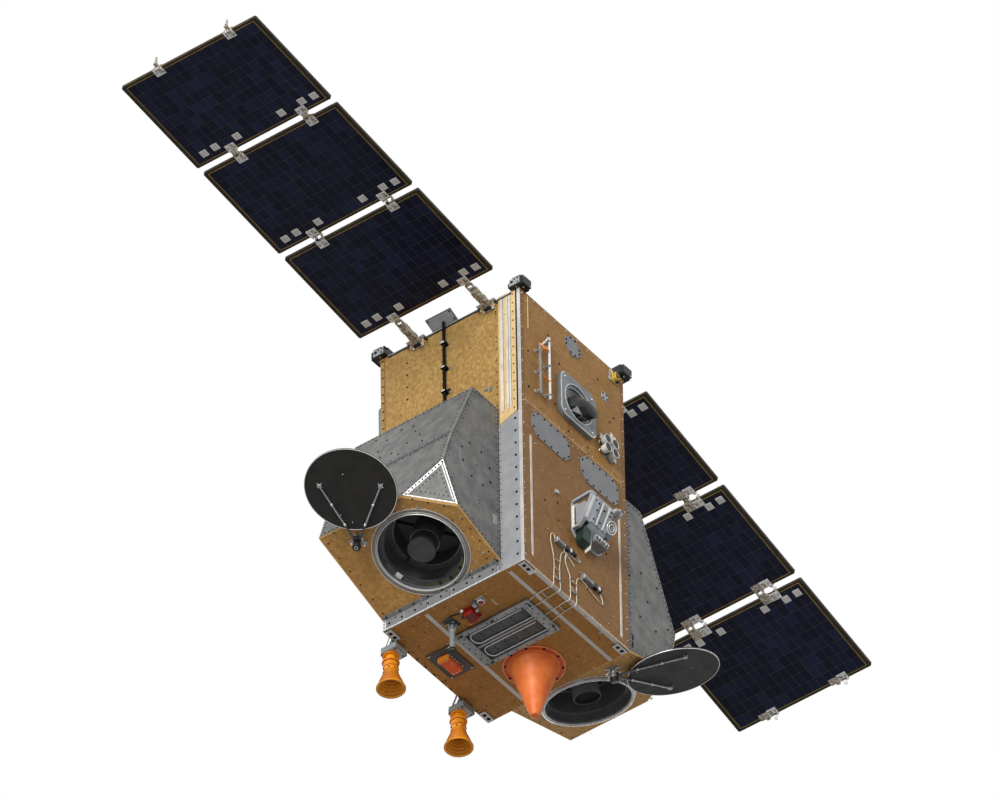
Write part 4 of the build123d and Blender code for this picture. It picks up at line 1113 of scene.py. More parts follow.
def make_fore_mouth(camera):
    """A thin bright lip in a wide grey flange, and what shows inside the barrel."""
    place = camera.front
    ring = Shape()
    ring.hollow([(311, 0), (344, 0), (345.5, 1.2), (344, 2.6), (313, 3.4), (311, 2.6)], "flange_sheet",
                place, 96)
    ring.hollow([(340, 2.6), (341, 3.6), (344, 3.6), (345, 2.6)], "bright_edge", place, 96)
    ring.hollow([(mouth_r, 0), (308, 0), (308, 11), (306.5, 13.6), (304, 14), (301.5, 12.5), (mouth_r, 8)],
                "bright_edge", place, 96)
    ring.band(308, 311, 0, 2, "black_paint", place, 96)
    ring.hollow([(314, 3), (318, 3), (318, 5), (316, 6.4), (314, 5)], "bright_edge", place, 96)
    piece("fore_mouth_ring", ring, "bus", ["fore_camera_ring"])
    heads("black").ring(place, 330, 14, 5.5, 9)
    inside = Shape()
    hoop(inside, place, liner_r, 2.6, -56, "dark_metal")
    hoop(inside, place, 266, 2.0, -84, "dark_metal")
    # painted highlight: a bright hoop along the edge of the opening over the mirror
    hoop(inside, place, cell_r, 3.0, -213, "machined")
    hoop(inside, place, 247, 2.4, -209, "dark_grey_paint")
    for start, end, finish in ((146, 186, "grid_olive"), (190, 208, "grid_olive"), (212, 226, "grid_olive"),
                               (118, 145, "dark_grey_paint"), (84, 104, "dark_grey_paint")):
        sector(inside, place, 275, 298, start, end, -44, -40, finish)
    for turn in (188, 210, 232, 170):
        inside.block((26, 12), -42, -28, "black_paint",
                     shifted(place, *polar(287, math.radians(turn)), 0, turn))
    inside.block((34, 48), -44, -31, "white_paint", shifted(place, *polar(286, math.radians(110)), 0, 110))
    hoop(inside, place, 97.5, 1.6, -20, "dark_metal", 48)
    hoop(inside, place, 100, 2.6, -128, "machined", 48)
    inside.band(96, 100, -262, -132, "dark_grey_paint", place)
    make_vanes(inside, place)
    inside.tube([(-80, 205, -205), (-84, 214, -190), (-90, 226, -196), (-95, 237, -207)], 5.5, "black_paint",
                place, 8)
    piece("fore_barrel_fittings", inside, "bus")


def make_aft_mouth(camera):
    """A broad rolled lip, with the lined barrel and the open hub inside it; a black disc just inside the
    hub's mouth is painted shade for its dark open end.
    """
    place = camera.front
    ring = Shape()
    profile = [(mouth_r, 0), (334, 0), (336, 1.5), (334, 3.5), (328, 5)]
    profile += [(313.5 + 14 * math.cos(a), 13 + 13 * math.sin(a))
                for a in (math.radians(-20 + 20 * k) for k in range(11))]
    profile += [(mouth_r, 8)]
    ring.hollow(profile, "rolled_lip", place, 96)
    piece("aft_mouth_ring", ring, "bus", ["aft_camera_ring"])
    inside = Shape()
    hoop(inside, place, liner_r, 2.4, -56, "dark_metal")
    hoop(inside, place, cell_r, 2.6, -213, "dark_metal")
    inside.band(liner_r, 271.8, -58, -210, "dark_grey_paint", place, 96)
    hoop(inside, place, 92, 1.8, -18.5, "black_paint", 48)
    inside.band(95.4, 96.6, -240, -19, "hub_sleeve", place, 64)
    # painted shade: a black disc inside the hub's mouth stands for the shadow in its open end
    inside.lathe([(88, -34), (88, -31), (0.4, -31)], "black_bolt", place, 48)
    make_vanes(inside, place)
    piece("aft_barrel_fittings", inside, "bus")


def make_fronts(fore, aft):
    """Bolts, clips and edge trim of the two foil-covered fronts."""
    black, silver = heads("black"), heads("silver")
    black.spots(fore.front, fore.at([
        (706, 157), (630, 235), (555, 318), (412, 369), (319, 371), (211, 372), (110, 374),
        (70, 330), (40, 376), (26, 305), (24, 225), (692, -12), (436, 304), (748, -480), (568, -568),
        (444, -563), (322, -564), (184, -556), (15, -215), (700, -130), (712, -250), (730, -360), (700, -565),
        (60, -560), (20, -90), (18, -340), (18, -460)]), 7.0)
    silver.spots(fore.front, fore.at([
        (650, 120), (600, 190), (690, 60), (480, 340), (700, -70), (640, -430), (560, -480), (90, -470),
        (120, -380), (60, 100), (40, 180), (160, 330), (260, 345), (655, -330), (90, 250), (30, -20)]), 4.4)
    black.spots(aft.front, aft.at([
        (8, 359), (8, 286), (8, 205), (8, 122), (7, 30), (8, -56), (8, -110), (8, -284),
        (8, -354), (300, 372), (180, 374), (64, 372), (560, 372), (690, 372), (80, -560), (230, -566),
        (400, -568), (560, -560), (690, -430)]), 6.5)
    silver.spots(aft.front, aft.at([
        (413, 348), (636, 350), (746, 254), (714, 30), (704, -81), (701, -215), (711, -273), (673, -322),
        (60, 330), (40, 240), (52, 60), (690, 160), (690, 300), (560, -330), (420, -470), (300, -500),
        (120, -300), (60, -200), (640, 200), (100, -440)]), 4.6)
    trim = Shape()
    for camera in (fore, aft):
        face = face_towards(f"{camera.name}_camera_front", -camera.inward, 0.05)
        edge_strips(trim, face, 5, 1.2, "strip_foil")
        for t, y, turn in ((640, 150, 20), (120, 340, 70), (690, -300, 5)):
            x, across = camera.at([(t, y)])[0]
            trim.block((26, 12), 0, 7, "machined", shifted(camera.front, x, across, 0, turn))
    piece("camera_front_trim", trim, "bus")


def make_cover(camera):
    """Rim, clamps, ties and screws of a cover, and the cap over its pivot."""
    body = f"{camera.name}_cover"
    place, pivot = camera.cover, camera.pivot
    arm = place.translation - pivot.translation
    reach = (arm - camera.inward * camera.inward.dot(arm)).length / MM
    trim = Shape()
    trim.hollow([(318, 0), (320, 1.2), (322.2, 1.2), (322.8, 0), (322.8, -3), (321.8, -3)], "bright_edge",
                place, 96)
    trim.band(321.6, 322.6, -3, -11, "black_paint", place, 96)
    trim.hollow([(60, 0), (62, 0.7), (64, 0)], "cover_black", place, 48)
    trim.block((44, 52), -8, 20, "black_paint", shifted(place, 34 - reach, 0), bevel=4.0)
    for side in (-1, 1):
        start = Vector((21 - reach, side * 10.4, 8))
        tip = Vector((31, side * 213, 8))
        line = tip - start
        step = line.normalized() * 10
        for share in (0.3, 0.66):
            middle = start + line * share
            trim.tube([middle - step, middle - step * 0.8, middle + step * 0.8, middle + step],
                      [6.4, 8.6, 8.6, 6.4], "bright_edge", place, 12)
            clamp = shifted(place, middle.x, middle.y, 0, math.degrees(math.atan2(line.y, line.x)))
            trim.block((18, 14), 0, 4.5, "machined", clamp, bevel=1.0)
        hoop(trim, shifted(place, tip.x, tip.y), 12.5, 2.8, 12, "bright_edge", 24, 8)
        for k in range(4):
            turn = math.radians(45 + 90 * k)
            corner = shifted(place, tip.x + 19 * math.cos(turn), tip.y + 19 * math.sin(turn), 0, 45)
            trim.block((7, 7), 0, 4, "bright_edge", corner, bevel=1.0)
        trim.tube([start, start + line * 0.12, start + line * 0.29], [10.5, 7.6, 6.8],
                  "dark_metal", place, 12)
    trim.hollow([(26.3, 36), (28.6, 36), (28.6, 66), (26.4, 69.4), (11, 69.4), (11, 68.5), (26.3, 68.5)],
                "black_paint", pivot, 32)
    heads("silver", body).spots(place, [(-262, 18), (-205, 92), (120, 40)], 3.6)
    piece(f"{body}_trim", trim, body)


def make_bracket_trim(camera):
    """Collars, nuts and braces of a cover's bracket."""
    pivot = camera.pivot
    foot = Shape()
    foot.hollow([(10.4, 70), (13.4, 70), (14, 70.6), (14, 72), (10.4, 72)], "bright_edge", pivot, 24)
    foot.hollow([(18.2, 8), (24, 8), (24, 20), (20, 24), (20, 32), (18.2, 32)], "machined", pivot, 32)
    for k in range(5):
        turn = math.radians(-72 * k)
        foot.lathe([(9.5, 6), (9.5, 8), (7.5, 8.4), (7, 15), (4, 16.5)], "bright_edge",
                   shifted(pivot, *polar(47, turn)), 12)
        foot.tube([(*polar(19, turn), 26), (*polar(50, turn), 7)], 3.2, "machined", pivot, 8)
    piece(f"{camera.name}_bracket_trim", foot, "bus")


# ---------------------------------------------------------------- earth face equipment
def screws(kind, place, size, x, y, inner=0.0):
    """Four fasteners at the corners of a rectangle."""
    heads(kind).spots(place,
                      [(i * (x / 2 - inner), j * (y / 2 - inner)) for i in (-1, 1) for j in (-1, 1)], size)


def make_earth_fittings():
    make_corners()
    make_sill()
    make_radiator()
    make_beacon()
    make_mast_and_plate()
    make_sensor_unit()


def make_corners():
    """Plates, slabs and screws on the hold-down fittings above and the drilled plates below."""
    trim = Shape()
    silver, black = heads("silver"), heads("black")
    for side_x in (-1, 1):
        for side_y in (-1, 1):
            pale = side_x > 0
            skin = "light_sheet" if pale else "black_paint"
            corner = (side_x * (half_x - 14), side_y * (half_y - 14))
            top = on_zenith(*corner, 72)
            trim.block((96, 96), 0, 3, skin, top, bevel=1.2)
            trim.hollow([(20, 3), (20, 9), (12, 11), (12, 3)], "dark_metal", top, 24)
            screws("silver", shifted(top, z=3), 6, 96, 96, 14)
            ahead = seat(spot(side_x * (half_x + 42), side_y * (half_y - 14), tall + 34), UP, FORE * side_x)
            beside = seat(spot(side_x * (half_x - 14), side_y * (half_y + 42), tall + 34), UP, RIGHT * side_y)
            trim.block((60, 88), 0, 2.4, skin, ahead, bevel=1.0)
            trim.lathe([(13, 2.4), (13, 3.0), (0.4, 3.0)], "black_bolt", shifted(ahead, 2, 22), 20)
            (black if pale else silver).spots(shifted(ahead, z=2.4), [(-18, -28), (18, -28), (16, -2)], 7)
            trim.block((72, 96), 0, 12, "black_paint", beside, bevel=2.0)
            silver.spots(shifted(beside, z=12), [(-24, -36), (24, 36)], 5)
            under = on_earth(*corner)
            under.translation.z += (tall + 0.4) * MM
            for x, y in ((0, 34), (34, 0)):
                silver.spots(shifted(under, side_x * x, -side_y * y), [(0, 0)], 6)
            plate = on_earth(side_x * (half_x - 61), side_y * (half_y - 32), 6)
            trim.block((114, 56), 0, 1.2, "warm_sheet", plate, bevel=0.6)
            for x in (-23, 23):
                trim.lathe([(14, 1.2), (14, 1.8), (0.2, 1.8)], "black_bolt", shifted(plate, x), 20)
            silver.spots(shifted(plate, z=1.2), [(48, 18), (-48, 18), (48, -18), (-48, -18)], 4.5)
    piece("corner_fitting_trim", trim, "bus")


def make_sill():
    """Bolts, seams and the bright lower lip of the strip under the forward camera; a bright strip beside each
    seam is a painted highlight on its edge.
    """
    trim = Shape()
    black = heads("black")
    face = on_fore(0, 0, 8)
    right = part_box("fore_sill")[1].y / MM
    trim.strip((-half_y, right), (0, 9), 0, 2.4, "white_paint", face, 0.8)
    trim.strip((-half_y, right), (9, 86), 0, 1.2, "plate_sheet", face, 0.5)
    for y in (374, 182, -20, -222, -424):
        trim.strip((y - 2.5, y + 2.5), (10, 86), 1.2, 1.8, "dark_metal", face)
        # painted highlight: a bright strip along each seam's edge
        trim.strip((y + 2.5, y + 6.5), (10, 86), 1.2, 2.0, "bright_edge", face)
    black.row(shifted(face, z=1.2), [(-545, 44), (338, 50)], 9.5, 113)
    black.row(shifted(face, z=1.2), [(-490, 70), (380, 72)], 7.0, 196)
    edge = face_towards("fore_camera_front", -Vector(joints["fore_cover_swing"]["axis"]), 0.05)
    inner = seat(spot(half_x + 3, 0, 92.5), RIGHT, edge.normal)
    trim.strip((-590, right - 6), (4, 34), 0, 1.6, "plate_sheet", inner, 0.6)
    black.row(shifted(inner, z=1.6), [(-560, 19), (right - 20, 19)], 7.5, 113)
    for y in (330, 140, -62, -264, -466):
        # painted highlight: bright lines at the seams of the inner face
        trim.strip((y, y + 4), (5, 33), 1.6, 2.2, "bright_edge", inner)
    trim.block((26, 78), 1.2, 5, "white_paint", shifted(face, -584, 46))
    black.spots(shifted(face, -584, 46, 5), [(0, -24), (0, 2), (2, 26)], 6.5)
    piece("sill_trim", trim, "bus")


def make_radiator():
    """A sunk dark tray with wide end margins, two bright heat-pipe loops, a light bar, screws and clips."""
    low, high, middle = box_mm("radiator_plate")
    wide, deep = high.x - low.x, high.y - low.y
    base = on_earth(middle.x, middle.y)
    rim = shifted(base, z=30)
    shape = Shape()
    black = heads("black")
    shape.block((wide, deep), 0, 11, "radiator_dark", base, bevel=1.0)
    for x in (-1, 1):
        shape.block((30, deep), 11, 30, "radiator_grey", shifted(base, x * (wide / 2 - 15)), bevel=1.2)
    margin, bar = 66, 14
    for y in (-1, 1):
        shape.block((wide - 60, margin), 11, 30, "radiator_grey",
                    shifted(base, 0, y * (deep / 2 - margin / 2)), bevel=1.2)
    reach = deep / 2 - margin
    shape.block((bar, 2 * reach), 11, 25, "light_sheet", base)
    floor = shifted(base, z=11)
    for left, right in ((-wide / 2 + 30, -bar / 2), (bar / 2, wide / 2 - 30)):
        centre, leg = (left + right) / 2, (right - left) / 2 - 20
        loop = [(centre - leg, -reach + 6, 9)] + [
            (centre - leg * math.cos(math.pi * k / 10),
             reach - 16 - leg * 0.7 * (1 - math.sin(math.pi * k / 10)), 9)
            for k in range(11)] + [(centre + leg, -reach + 22, 9)]
        shape.tube(loop, 4.6, "bright_edge", floor, 8)
        for k in range(7):
            y = -reach + 40 + 64 * k
            for x in (-leg, leg):
                shape.block((20, 9), 0, 8, "dark_metal", shifted(floor, centre + x, y), bevel=1.0)
        shape.plate(rounded(2 * leg - 26, 2 * reach - 60, 24, 4, (centre, -4)), 0, 2.2,
                    "radiator_well", floor)
        black.spots(shifted(floor, z=2.2),
                    [(centre + x, y) for x in (-15, 15) for y in (-200, -110, -20, 70, 150)], 5.5)
    black.spots(rim, [(x, y * (deep / 2 - 20)) for x in (-160, -95, -30, 35, 100, 165) for y in (-1, 1)], 6.5)
    black.spots(rim, [(x, y * (deep / 2 - 50)) for x in (-130, -64, 8, 70, 132) for y in (-1, 1)], 5.0)
    for x in (-1, 1):
        black.row(rim, [(x * (wide / 2 - 14), -deep / 2 + 30), (x * (wide / 2 - 14), deep / 2 - 30)], 5.5, 82)
    end, side = 14 - deep / 2, wide / 2 - 15
    for x, y, turn in ((140, end, 0), (-126, end, 0), (side, 262, 90), (-side, 250, 90), (side, 0, 90)):
        shape.block((30, 12), 0, 7, "black_paint", shifted(rim, x, y, 0, turn))
    piece("radiator", shape, "bus", ["radiator_plate"])


def make_beacon():
    """Windows, end caps and brackets of the red beacon, and the eye of the sun sensor beside it."""
    trim = Shape()
    face = on_earth(0, 0)
    top = on_earth(388, -7, 46)
    side = on_earth(388, -7, 12)
    for y in (-22, 22):
        trim.block((74, 32), 0, 2.0, "red_paint", shifted(top, 4, y), bevel=0.8)
        trim.block((60, 22), 2.0, 3.4, "deep_red", shifted(top, 4, y), bevel=1.0)
    trim.block((16, 84), -6, 5, "red_paint", shifted(top, -44, 0), bevel=2.0)
    for x, y, wide, finish in ((66, 30, 20, "white_paint"), (-64, 34, 16, "white_paint"),
                               (-66, -20, 20, "machined"), (8, -56, 22, "white_paint"),
                               (10, 54, 34, "black_paint")):
        trim.block((14, wide), 0, 18, finish, shifted(side, x, y), bevel=2.0)
    trim.tube([(-72, 50, 4), (-82, 58, 8), (-78, 70, 7), (-68, 72, 5)], 5, "orange_tape", side, 10)
    trim.block((44, 40), 0, 30, "dark_grey_paint", shifted(face, 452, -72), bevel=2.0)
    trim.block((30, 24), 30, 34, "machined", shifted(face, 452, -72))
    trim.tube([(420, -150, 6), (436, -120, 9), (448, -98, 9), (455, -84, 8)], 5, "black_paint",
              face, 8)
    screws("black", shifted(side, z=0.5), 6, 112, 88, 6)
    eye = on_earth(449, 122, 10)
    trim.block((68, 68), -2, 0.8, "machined", eye, bevel=0.8)
    trim.block((46, 46), 0.8, 13.4, "light_sheet", eye, bevel=2.0)
    trim.lathe([(0.4, 13.4), (21, 13.4), (21, 15), (15, 17), (0.4, 18.5)], "red_paint", eye, 24)
    trim.hollow([(21, 13.4), (25, 13.4), (25, 15), (21, 16)], "white_paint", eye, 24)
    screws("black", shifted(eye, z=0.8), 6, 68, 68, 8)
    for k in range(5):
        trim.block((8, 9), 0, 2, "white_paint",
                   shifted(face, 403 - 14 * k, -183 + (k % 2) * 3), bevel=0.5)
    trim.block((74, 9), 0, 8, "black_paint", shifted(face, 437, 113, 0, 76))
    trim.block((12, 12), 0, 6, "orange_tape", shifted(face, 343, 75, 0, 20))
    piece("beacon_trim", trim, "bus")


def make_mast_and_plate():
    """Foot, prongs and cap of the mast, and the screws and rims of the sensor's plate."""
    trim = Shape()
    foot = on_earth(367, -184, 1)
    trim.block((112, 86), -1, 1.6, "green_grey", shifted(foot, 18, -6, 0, 6), bevel=0.6)
    trim.block((76, 76), 1.6, 13.6, "green_grey", foot, bevel=2.0)
    for turn in (20, 140, 260):
        a = math.radians(turn)
        trim.tube([(*polar(32, a), 12), (*polar(28, a), 34), (*polar(20.5, a), 66)], [5.5, 5, 4],
                  "grey_paint", foot)
    trim.hollow([(20, 60), (21.4, 62), (21.4, 68), (20, 70)], "light_sheet", foot, 32)
    trim.band(20.1, 21.4, 216, 232, "black_paint", foot, 32)
    trim.hollow([(16, 233.6), (16.8, 234.6), (3, 234.6), (3, 233.6)], "black_paint", foot, 32)
    screws("silver", shifted(foot, z=13.6), 5, 76, 76, 9)
    low, high, middle = box_mm("sensor_plate")
    plate = on_earth(middle.x, middle.y, 12)
    size = (high.x - low.x, high.y - low.y)
    trim.block((size[0] - 4, size[1] - 4), 0, 0.8, "mount_grey", plate, bevel=0.4)
    screws("silver", shifted(plate, z=0.8), 6.5, *size, 12)
    heads("silver").row(shifted(plate, z=0.8), [(size[0] / 2 - 10, -70), (size[0] / 2 - 10, 70)], 3.6, 70)
    for y in (-1, 1):
        trim.block((size[0], 3), 0, 2, "dark_metal", shifted(plate, 0, y * (size[1] / 2 - 1.5)), bevel=0.5)
    piece("mast_and_sensor_trim", trim, "bus")


def make_sensor_unit():
    """The orange sensor unit, laid along its plate."""
    unit = Shape()
    low, high, middle = box_mm("sensor_unit")
    place = on_earth(middle.x, middle.y, bus_low.z / MM - high.z)
    along, across = high.y - low.y, high.x - low.x
    deep = high.z - low.z
    unit.block((along, across), 0, deep - 2, "orange_paint", place, bevel=3.0, corner=7)
    unit.block((along - 10, across - 8), deep - 2, deep, "red_orange", place, bevel=1.0)
    unit.block((26, across + 4), 6, deep + 3, "orange_tape", shifted(place, along / 2 - 11))
    unit.block((5, across), 4, deep + 1, "red_orange", shifted(place, along / 2 - 30), bevel=0.8)
    for y in (-1, 1):
        unit.block((along - 16, 12), 0, 4, "dark_grey_paint",
                   shifted(place, 0, y * (across / 2 + 7)), bevel=0.8)
        heads("silver").row(shifted(place, 0, y * (across / 2 + 7), 4),
                            [(-along / 2 + 14, 0), (along / 2 - 14, 0)], 5, 30)
    heads("silver").spots(shifted(place, z=deep), [(-70, -26), (-72, 0), (-70, 26), (20, -28)], 4.5)
    piece("sensor_unit_body", unit, "bus", ["sensor_unit"])


# ---------------------------------------------------------------- wall equipment
star_places = ((on_right, -20.0, 1843.0), (on_left, 372.0, 1925.0))
eighths = [math.tau * (k + 0.5) / 8 for k in range(8)]
# each ring of a hood: its lean in x and y, half its width and height, and how far it stands off the bezel
hood_rings = ((12, 12, 98, 98, 4), (34, 34, 92, 86, 64), (52, 50, 76, 64, 104), (60, 56, 42, 34, 118))


def make_wall_fittings():
    make_star_trackers()
    make_instrument()
    make_thruster()
    make_rods()
    make_fore_brackets()
    make_back_walls()


def add_hood(hoods, place, flip):
    """A leaning hood of eight sides, with three pale facets folded in from its shoulder; flip mirrors it."""
    rings = [[(x * flip + wide * math.cos(a), high * math.sin(a) - y, z) for a in eighths]
             for x, y, wide, high, z in hood_rings]
    base, shoulder = rings[:2]
    hoods.loft(rings, "black_paint", place)
    for k, finish in ((4, "light_sheet"), (5, "dark_grey_paint"), (1, "dark_grey_paint")):
        if flip < 0:
            k = (11 - k) % 8
        first, last = shoulder[k], shoulder[(k + 1) % 8]
        tip = ((base[k][0] + base[(k + 1) % 8][0]) / 2, (base[k][1] + base[(k + 1) % 8][1]) / 2, 7)
        corners = [Vector(p) for p in (first, last, tip)]
        middle = sum(corners, Vector()) / 3
        push = (middle - Vector((24 * flip, -24, middle.z - 4))).normalized()
        rim = [p.lerp(middle, 0.06) + push * 3.6 for p in corners]
        hoods.loft([[tuple(p - push * 3.2) for p in rim], [tuple(p) for p in rim]], finish, place)
        hoods.tube([tuple(corners[0] + push * 2), tuple(corners[2] + push * 3)], 1.8,
                   "machined", place, 6)


def make_star_trackers():
    """The bezels' bright lower edges, which are painted highlights, stepped rings in the recess, and a
    closed, faceted hood in each.
    """
    trim, hoods = Shape(), Shape()
    for wall, x, h in star_places:
        place = wall(x, h)
        flip = 1 if wall is on_right else -1
        face = shifted(place, z=34)
        outer, inner = rounded(400, 400, 69, 8), rounded(386, 386, 62, 8)
        second, third = rounded(376, 376, 57, 8), rounded(369, 369, 54, 8)
        count = len(outer)
        for i in range(count):
            j = (i + 1) % count
            # painted highlight: the bright and the blue edge lines are laid only on the bezel's lit lower
            # side
            if -flip * (outer[i][0] + outer[j][0]) - outer[i][1] - outer[j][1] > -90:
                trim.plate([outer[i], outer[j], inner[j], inner[i]], 0, 2.2, "bright_edge", face)
                trim.plate([second[i], second[j], third[j], third[i]], 0, 1.6, "blue_line", face)
        for corner in (45, 135, 225, 315):
            a = math.radians(corner)
            at = polar(218, a)
            trim.lathe([(13, 0), (13, 1.5), (10, 3), (0.4, 3)], "grey_paint", shifted(face, *at), 20)
            heads("silver").spots(shifted(face, *at, 3), [(0, 0)], 7)
        for radius, depth, finish in ((149, -15, "bright_edge"), (141, -15.3, "dark_metal"),
                                      (135, -15.6, "machined")):
            trim.hollow([(radius - 4, depth), (radius, depth), (radius, depth + 2.4),
                         (radius - 4, depth + 1.2)], finish, face, 64)
        trim.hollow([(151, -1), (157, -1), (157, 2), (154, 3.4), (151, 2)], "bright_edge", face, 64)
        trim.lathe([(127.5, 0.3), (127.5, 3.2), (0.4, 3.2)], "dark_metal", place, 64)
        for radius, finish in ((124, "machined"), (117, "light_sheet"), (111, "machined")):
            trim.band(radius - 3, radius, 3, 6, finish, place, 64)
        add_hood(hoods, place, flip)
    piece("star_bezel_trim", trim, "bus")
    piece("star_hoods", hoods, "bus", ["star_baffles"])


def prism(shape, outline, low, high, finish, place, bevel=0.0):
    """A block along x from its profile, which is given as height out of the place and height up it."""
    turned = place @ Matrix(((0, 0, 1, 0), (0, 1, 0, 0), (-1, 0, 0, 0), (0, 0, 0, 1)))
    shape.plate([(-out, up) for out, up in outline], low, high, finish, turned, bevel)


def make_instrument():
    """A wedge-shaped instrument: an open forward side, ribs with screws, a ringed lens and a box below."""
    shape = Shape()
    place = on_right(-118, 812)
    black, silver = heads("black"), heads("silver")
    shape.block((330, 330), 0, 12, "blue_grey_paint", shifted(place, 0, -30), bevel=2.0, corner=40)
    # the wedge and the frames of its open forward side, as profiles out of the wall
    profile = [(12, 100), (176, 112), (188, 84), (104, -96), (60, -128), (12, -128)]
    prism(shape, profile, -96, 84, "blue_grey_paint", place, 3.0)
    prism(shape, [(12, 108), (172, 120), (200, 92), (196, 70), (170, 100), (12, 88)], -170, -140,
          "blue_grey_paint", place, 2.0)
    prism(shape, [(12, -148), (64, -148), (112, -104), (100, -88), (56, -124), (12, -124)], -170, -140,
          "light_sheet", place, 2.0)
    prism(shape, [(12, -124), (26, -124), (26, 90), (12, 90)], -170, -100, "machined", place, 1.0)
    prism(shape, [(30, -96), (84, -84), (128, 40), (110, 66), (30, 60)], -150, -144,
          "light_sheet", place, 1.0)
    prism(shape, [(14, -120), (100, -96), (170, 96), (14, 86)], -112, -108, "black_paint", place)
    prism(shape, [(170, 100), (196, 74), (112, -100), (96, -92), (160, 60)], -170, -96,
          "blue_grey_paint", place, 1.5)
    # the ribs over its sloping front: place, width, height and finish, then the screws on them
    slope = Vector((104 - 188, -96 - 84)).normalized()
    front = place @ Matrix.Translation((0, -6, 146)) @ Matrix.Rotation(math.atan2(-slope.x, -slope.y), 4, "X")
    for x, wide, high, finish in ((-150, 26, 14, "bright_edge"), (-118, 20, 9, "light_sheet"),
                                  (-84, 30, 12, "blue_grey_paint"), (-46, 14, 18, "bright_edge"),
                                  (-14, 34, 10, "light_sheet"), (22, 12, 20, "bright_edge"),
                                  (52, 30, 12, "blue_grey_paint")):
        shape.block((wide, 176), -10, high, finish, shifted(front, x, 0), bevel=2.5)
    for x, ys, high in ((-84, (-60, 10, 62), 12), (-14, (-52, 44), 10), (52, (40, 70), 12), (-118, (70,), 9)):
        black.spots(shifted(front, x, 0, high), [(0, y) for y in ys], 8)
    # the lens in its block, with three plugs above it
    lens = shifted(front, 98, -22, -6)
    shape.block((108, 150), -40, 0, "grey_paint", lens, bevel=4.0, corner=26)
    for outer, inner, top, finish in ((50, 41, 24, "bright_edge"), (41, 30, 17, "grey_paint"),
                                      (30, 22, 23, "bright_edge"), (22, 12, 13, "grey_paint"),
                                      (12, 0.5, 19, "light_sheet")):
        shape.hollow([(outer, -2), (outer, top - 2), (outer - 1.5, top), (inner + 1, top),
                      (inner, top - 2), (inner, -2)], finish, lens, 40)
    for x, y in ((72, 84), (100, 96), (126, 84)):
        shape.lathe([(17, -18), (17, 22), (13, 34), (6, 44), (1, 46)], "light_sheet",
                    tipped(shifted(front, x, y), -38), 14)
    # the connector box under the wedge, with its wires
    shape.block((150, 60), 12, 92, "grey_paint", shifted(place, 60, -150), bevel=5.0)
    for k in range(5):
        shape.tube([(10 + 26 * k, -128, 96), (24 + 26 * k, -150 - 6 * (k % 2), 100), (16 + 24 * k, -168, 92)],
                   4.6, ("machined", "white_paint")[k % 2], place, 8)
    shape.block((120, 30), 92, 100, "dark_metal", shifted(place, 66, -148))
    silver.spots(shifted(place, z=92), [(0, -138), (126, -134), (126, -166)], 5)
    # the green unit and the white fin below, and the small antenna beside the wedge
    prism(shape, [(12, -250), (66, -228), (84, -128), (12, -128)], -128, -38, "green_paint", place, 3.0)
    prism(shape, [(12, -276), (58, -262), (78, -90), (12, -90)], -30, -22, "white_paint", place, 1.5)
    shape.block((7, 196), 12, 30, "white_paint", shifted(place, -168, -40))
    cap = tipped(shifted(place, 140, 96, 40), 20, "Y")
    shape.lathe([(12, -40), (12, 26), (0.5, 26)], "grey_paint", cap, 16)
    shape.lathe([(38, 26), (38, 33), (30, 38), (10, 40.5), (0.5, 41)], "white_paint", cap, 32)
    screws("black", shifted(place, 0, -30, 12), 6.5, 330, 330, 34)
    piece("instrument", shape, "bus", ["side_instrument"])


def make_thruster():
    """Four wide, short cups on their valves, over two white plates that stand off the wall."""
    shape = Shape()
    place = on_right(-403, 1700)
    shape.block((132, 150), 0, 6, "grey_paint", shifted(place, -8, -10), bevel=1.5, corner=14)
    shape.plate([(-130, 26), (-130, 74), (-10, 76), (-10, 20), (-60, 6)], 24, 27, "white_paint", place, 0.8)
    shape.plate([(-6, -20), (-6, 160), (8, 160), (24, 148), (54, 148), (54, -88), (20, -88), (12, -20)], 24,
                27, "white_paint", place, 0.8)
    # the plates' stand-offs
    for x, y in ((-116, 60), (-22, 62), (8, 140), (44, 130), (44, -74)):
        shape.lathe([(5, 0), (5, 24)], "machined", shifted(place, x, y), 12)
        heads("silver").spots(shifted(place, x, y, 27), [(0, 0)], 6)
    # the cups, each on its valve
    for x, y in ((-82, 30), (-80, -48), (2, 38), (4, -46)):
        cup = shifted(place, x, y)
        shape.block((46, 46), 6, 17, "machined", cup, bevel=2.0, corner=8)
        shape.lathe([(24, 17), (31, 22), (34.5, 46), (35, 62), (32.4, 62), (31, 44), (22, 30)],
                    "white_paint", cup, 36)
        shape.lathe([(32.2, 61), (30.8, 44), (22, 30), (0.4, 28)], "black_paint", cup, 36)
        shape.band(33.6, 37, 60, 63.4, "bright_edge", cup, 36)
        shape.hollow([(9, 28), (12, 28), (17, 48), (14.6, 48)], "green_grey", cup, 24)
        shape.tube([(-30, -14, 18), (-40, -18, 14), (-38, -30, 8)], 3.4, "bright_edge", cup, 8)
    # the feed line between them
    shape.block((24, 96), 6, 30, "green_grey", shifted(place, -39, -6), bevel=2.0)
    shape.tube([(-39, -70, 26), (-20, -86, 20), (28, -92, 10)], 4, "machined", place, 8)
    screws("black", shifted(place, -8, -10, 6), 6, 132, 150, 10)
    piece("thruster_cluster_body", shape, "bus", ["thruster_cluster"])


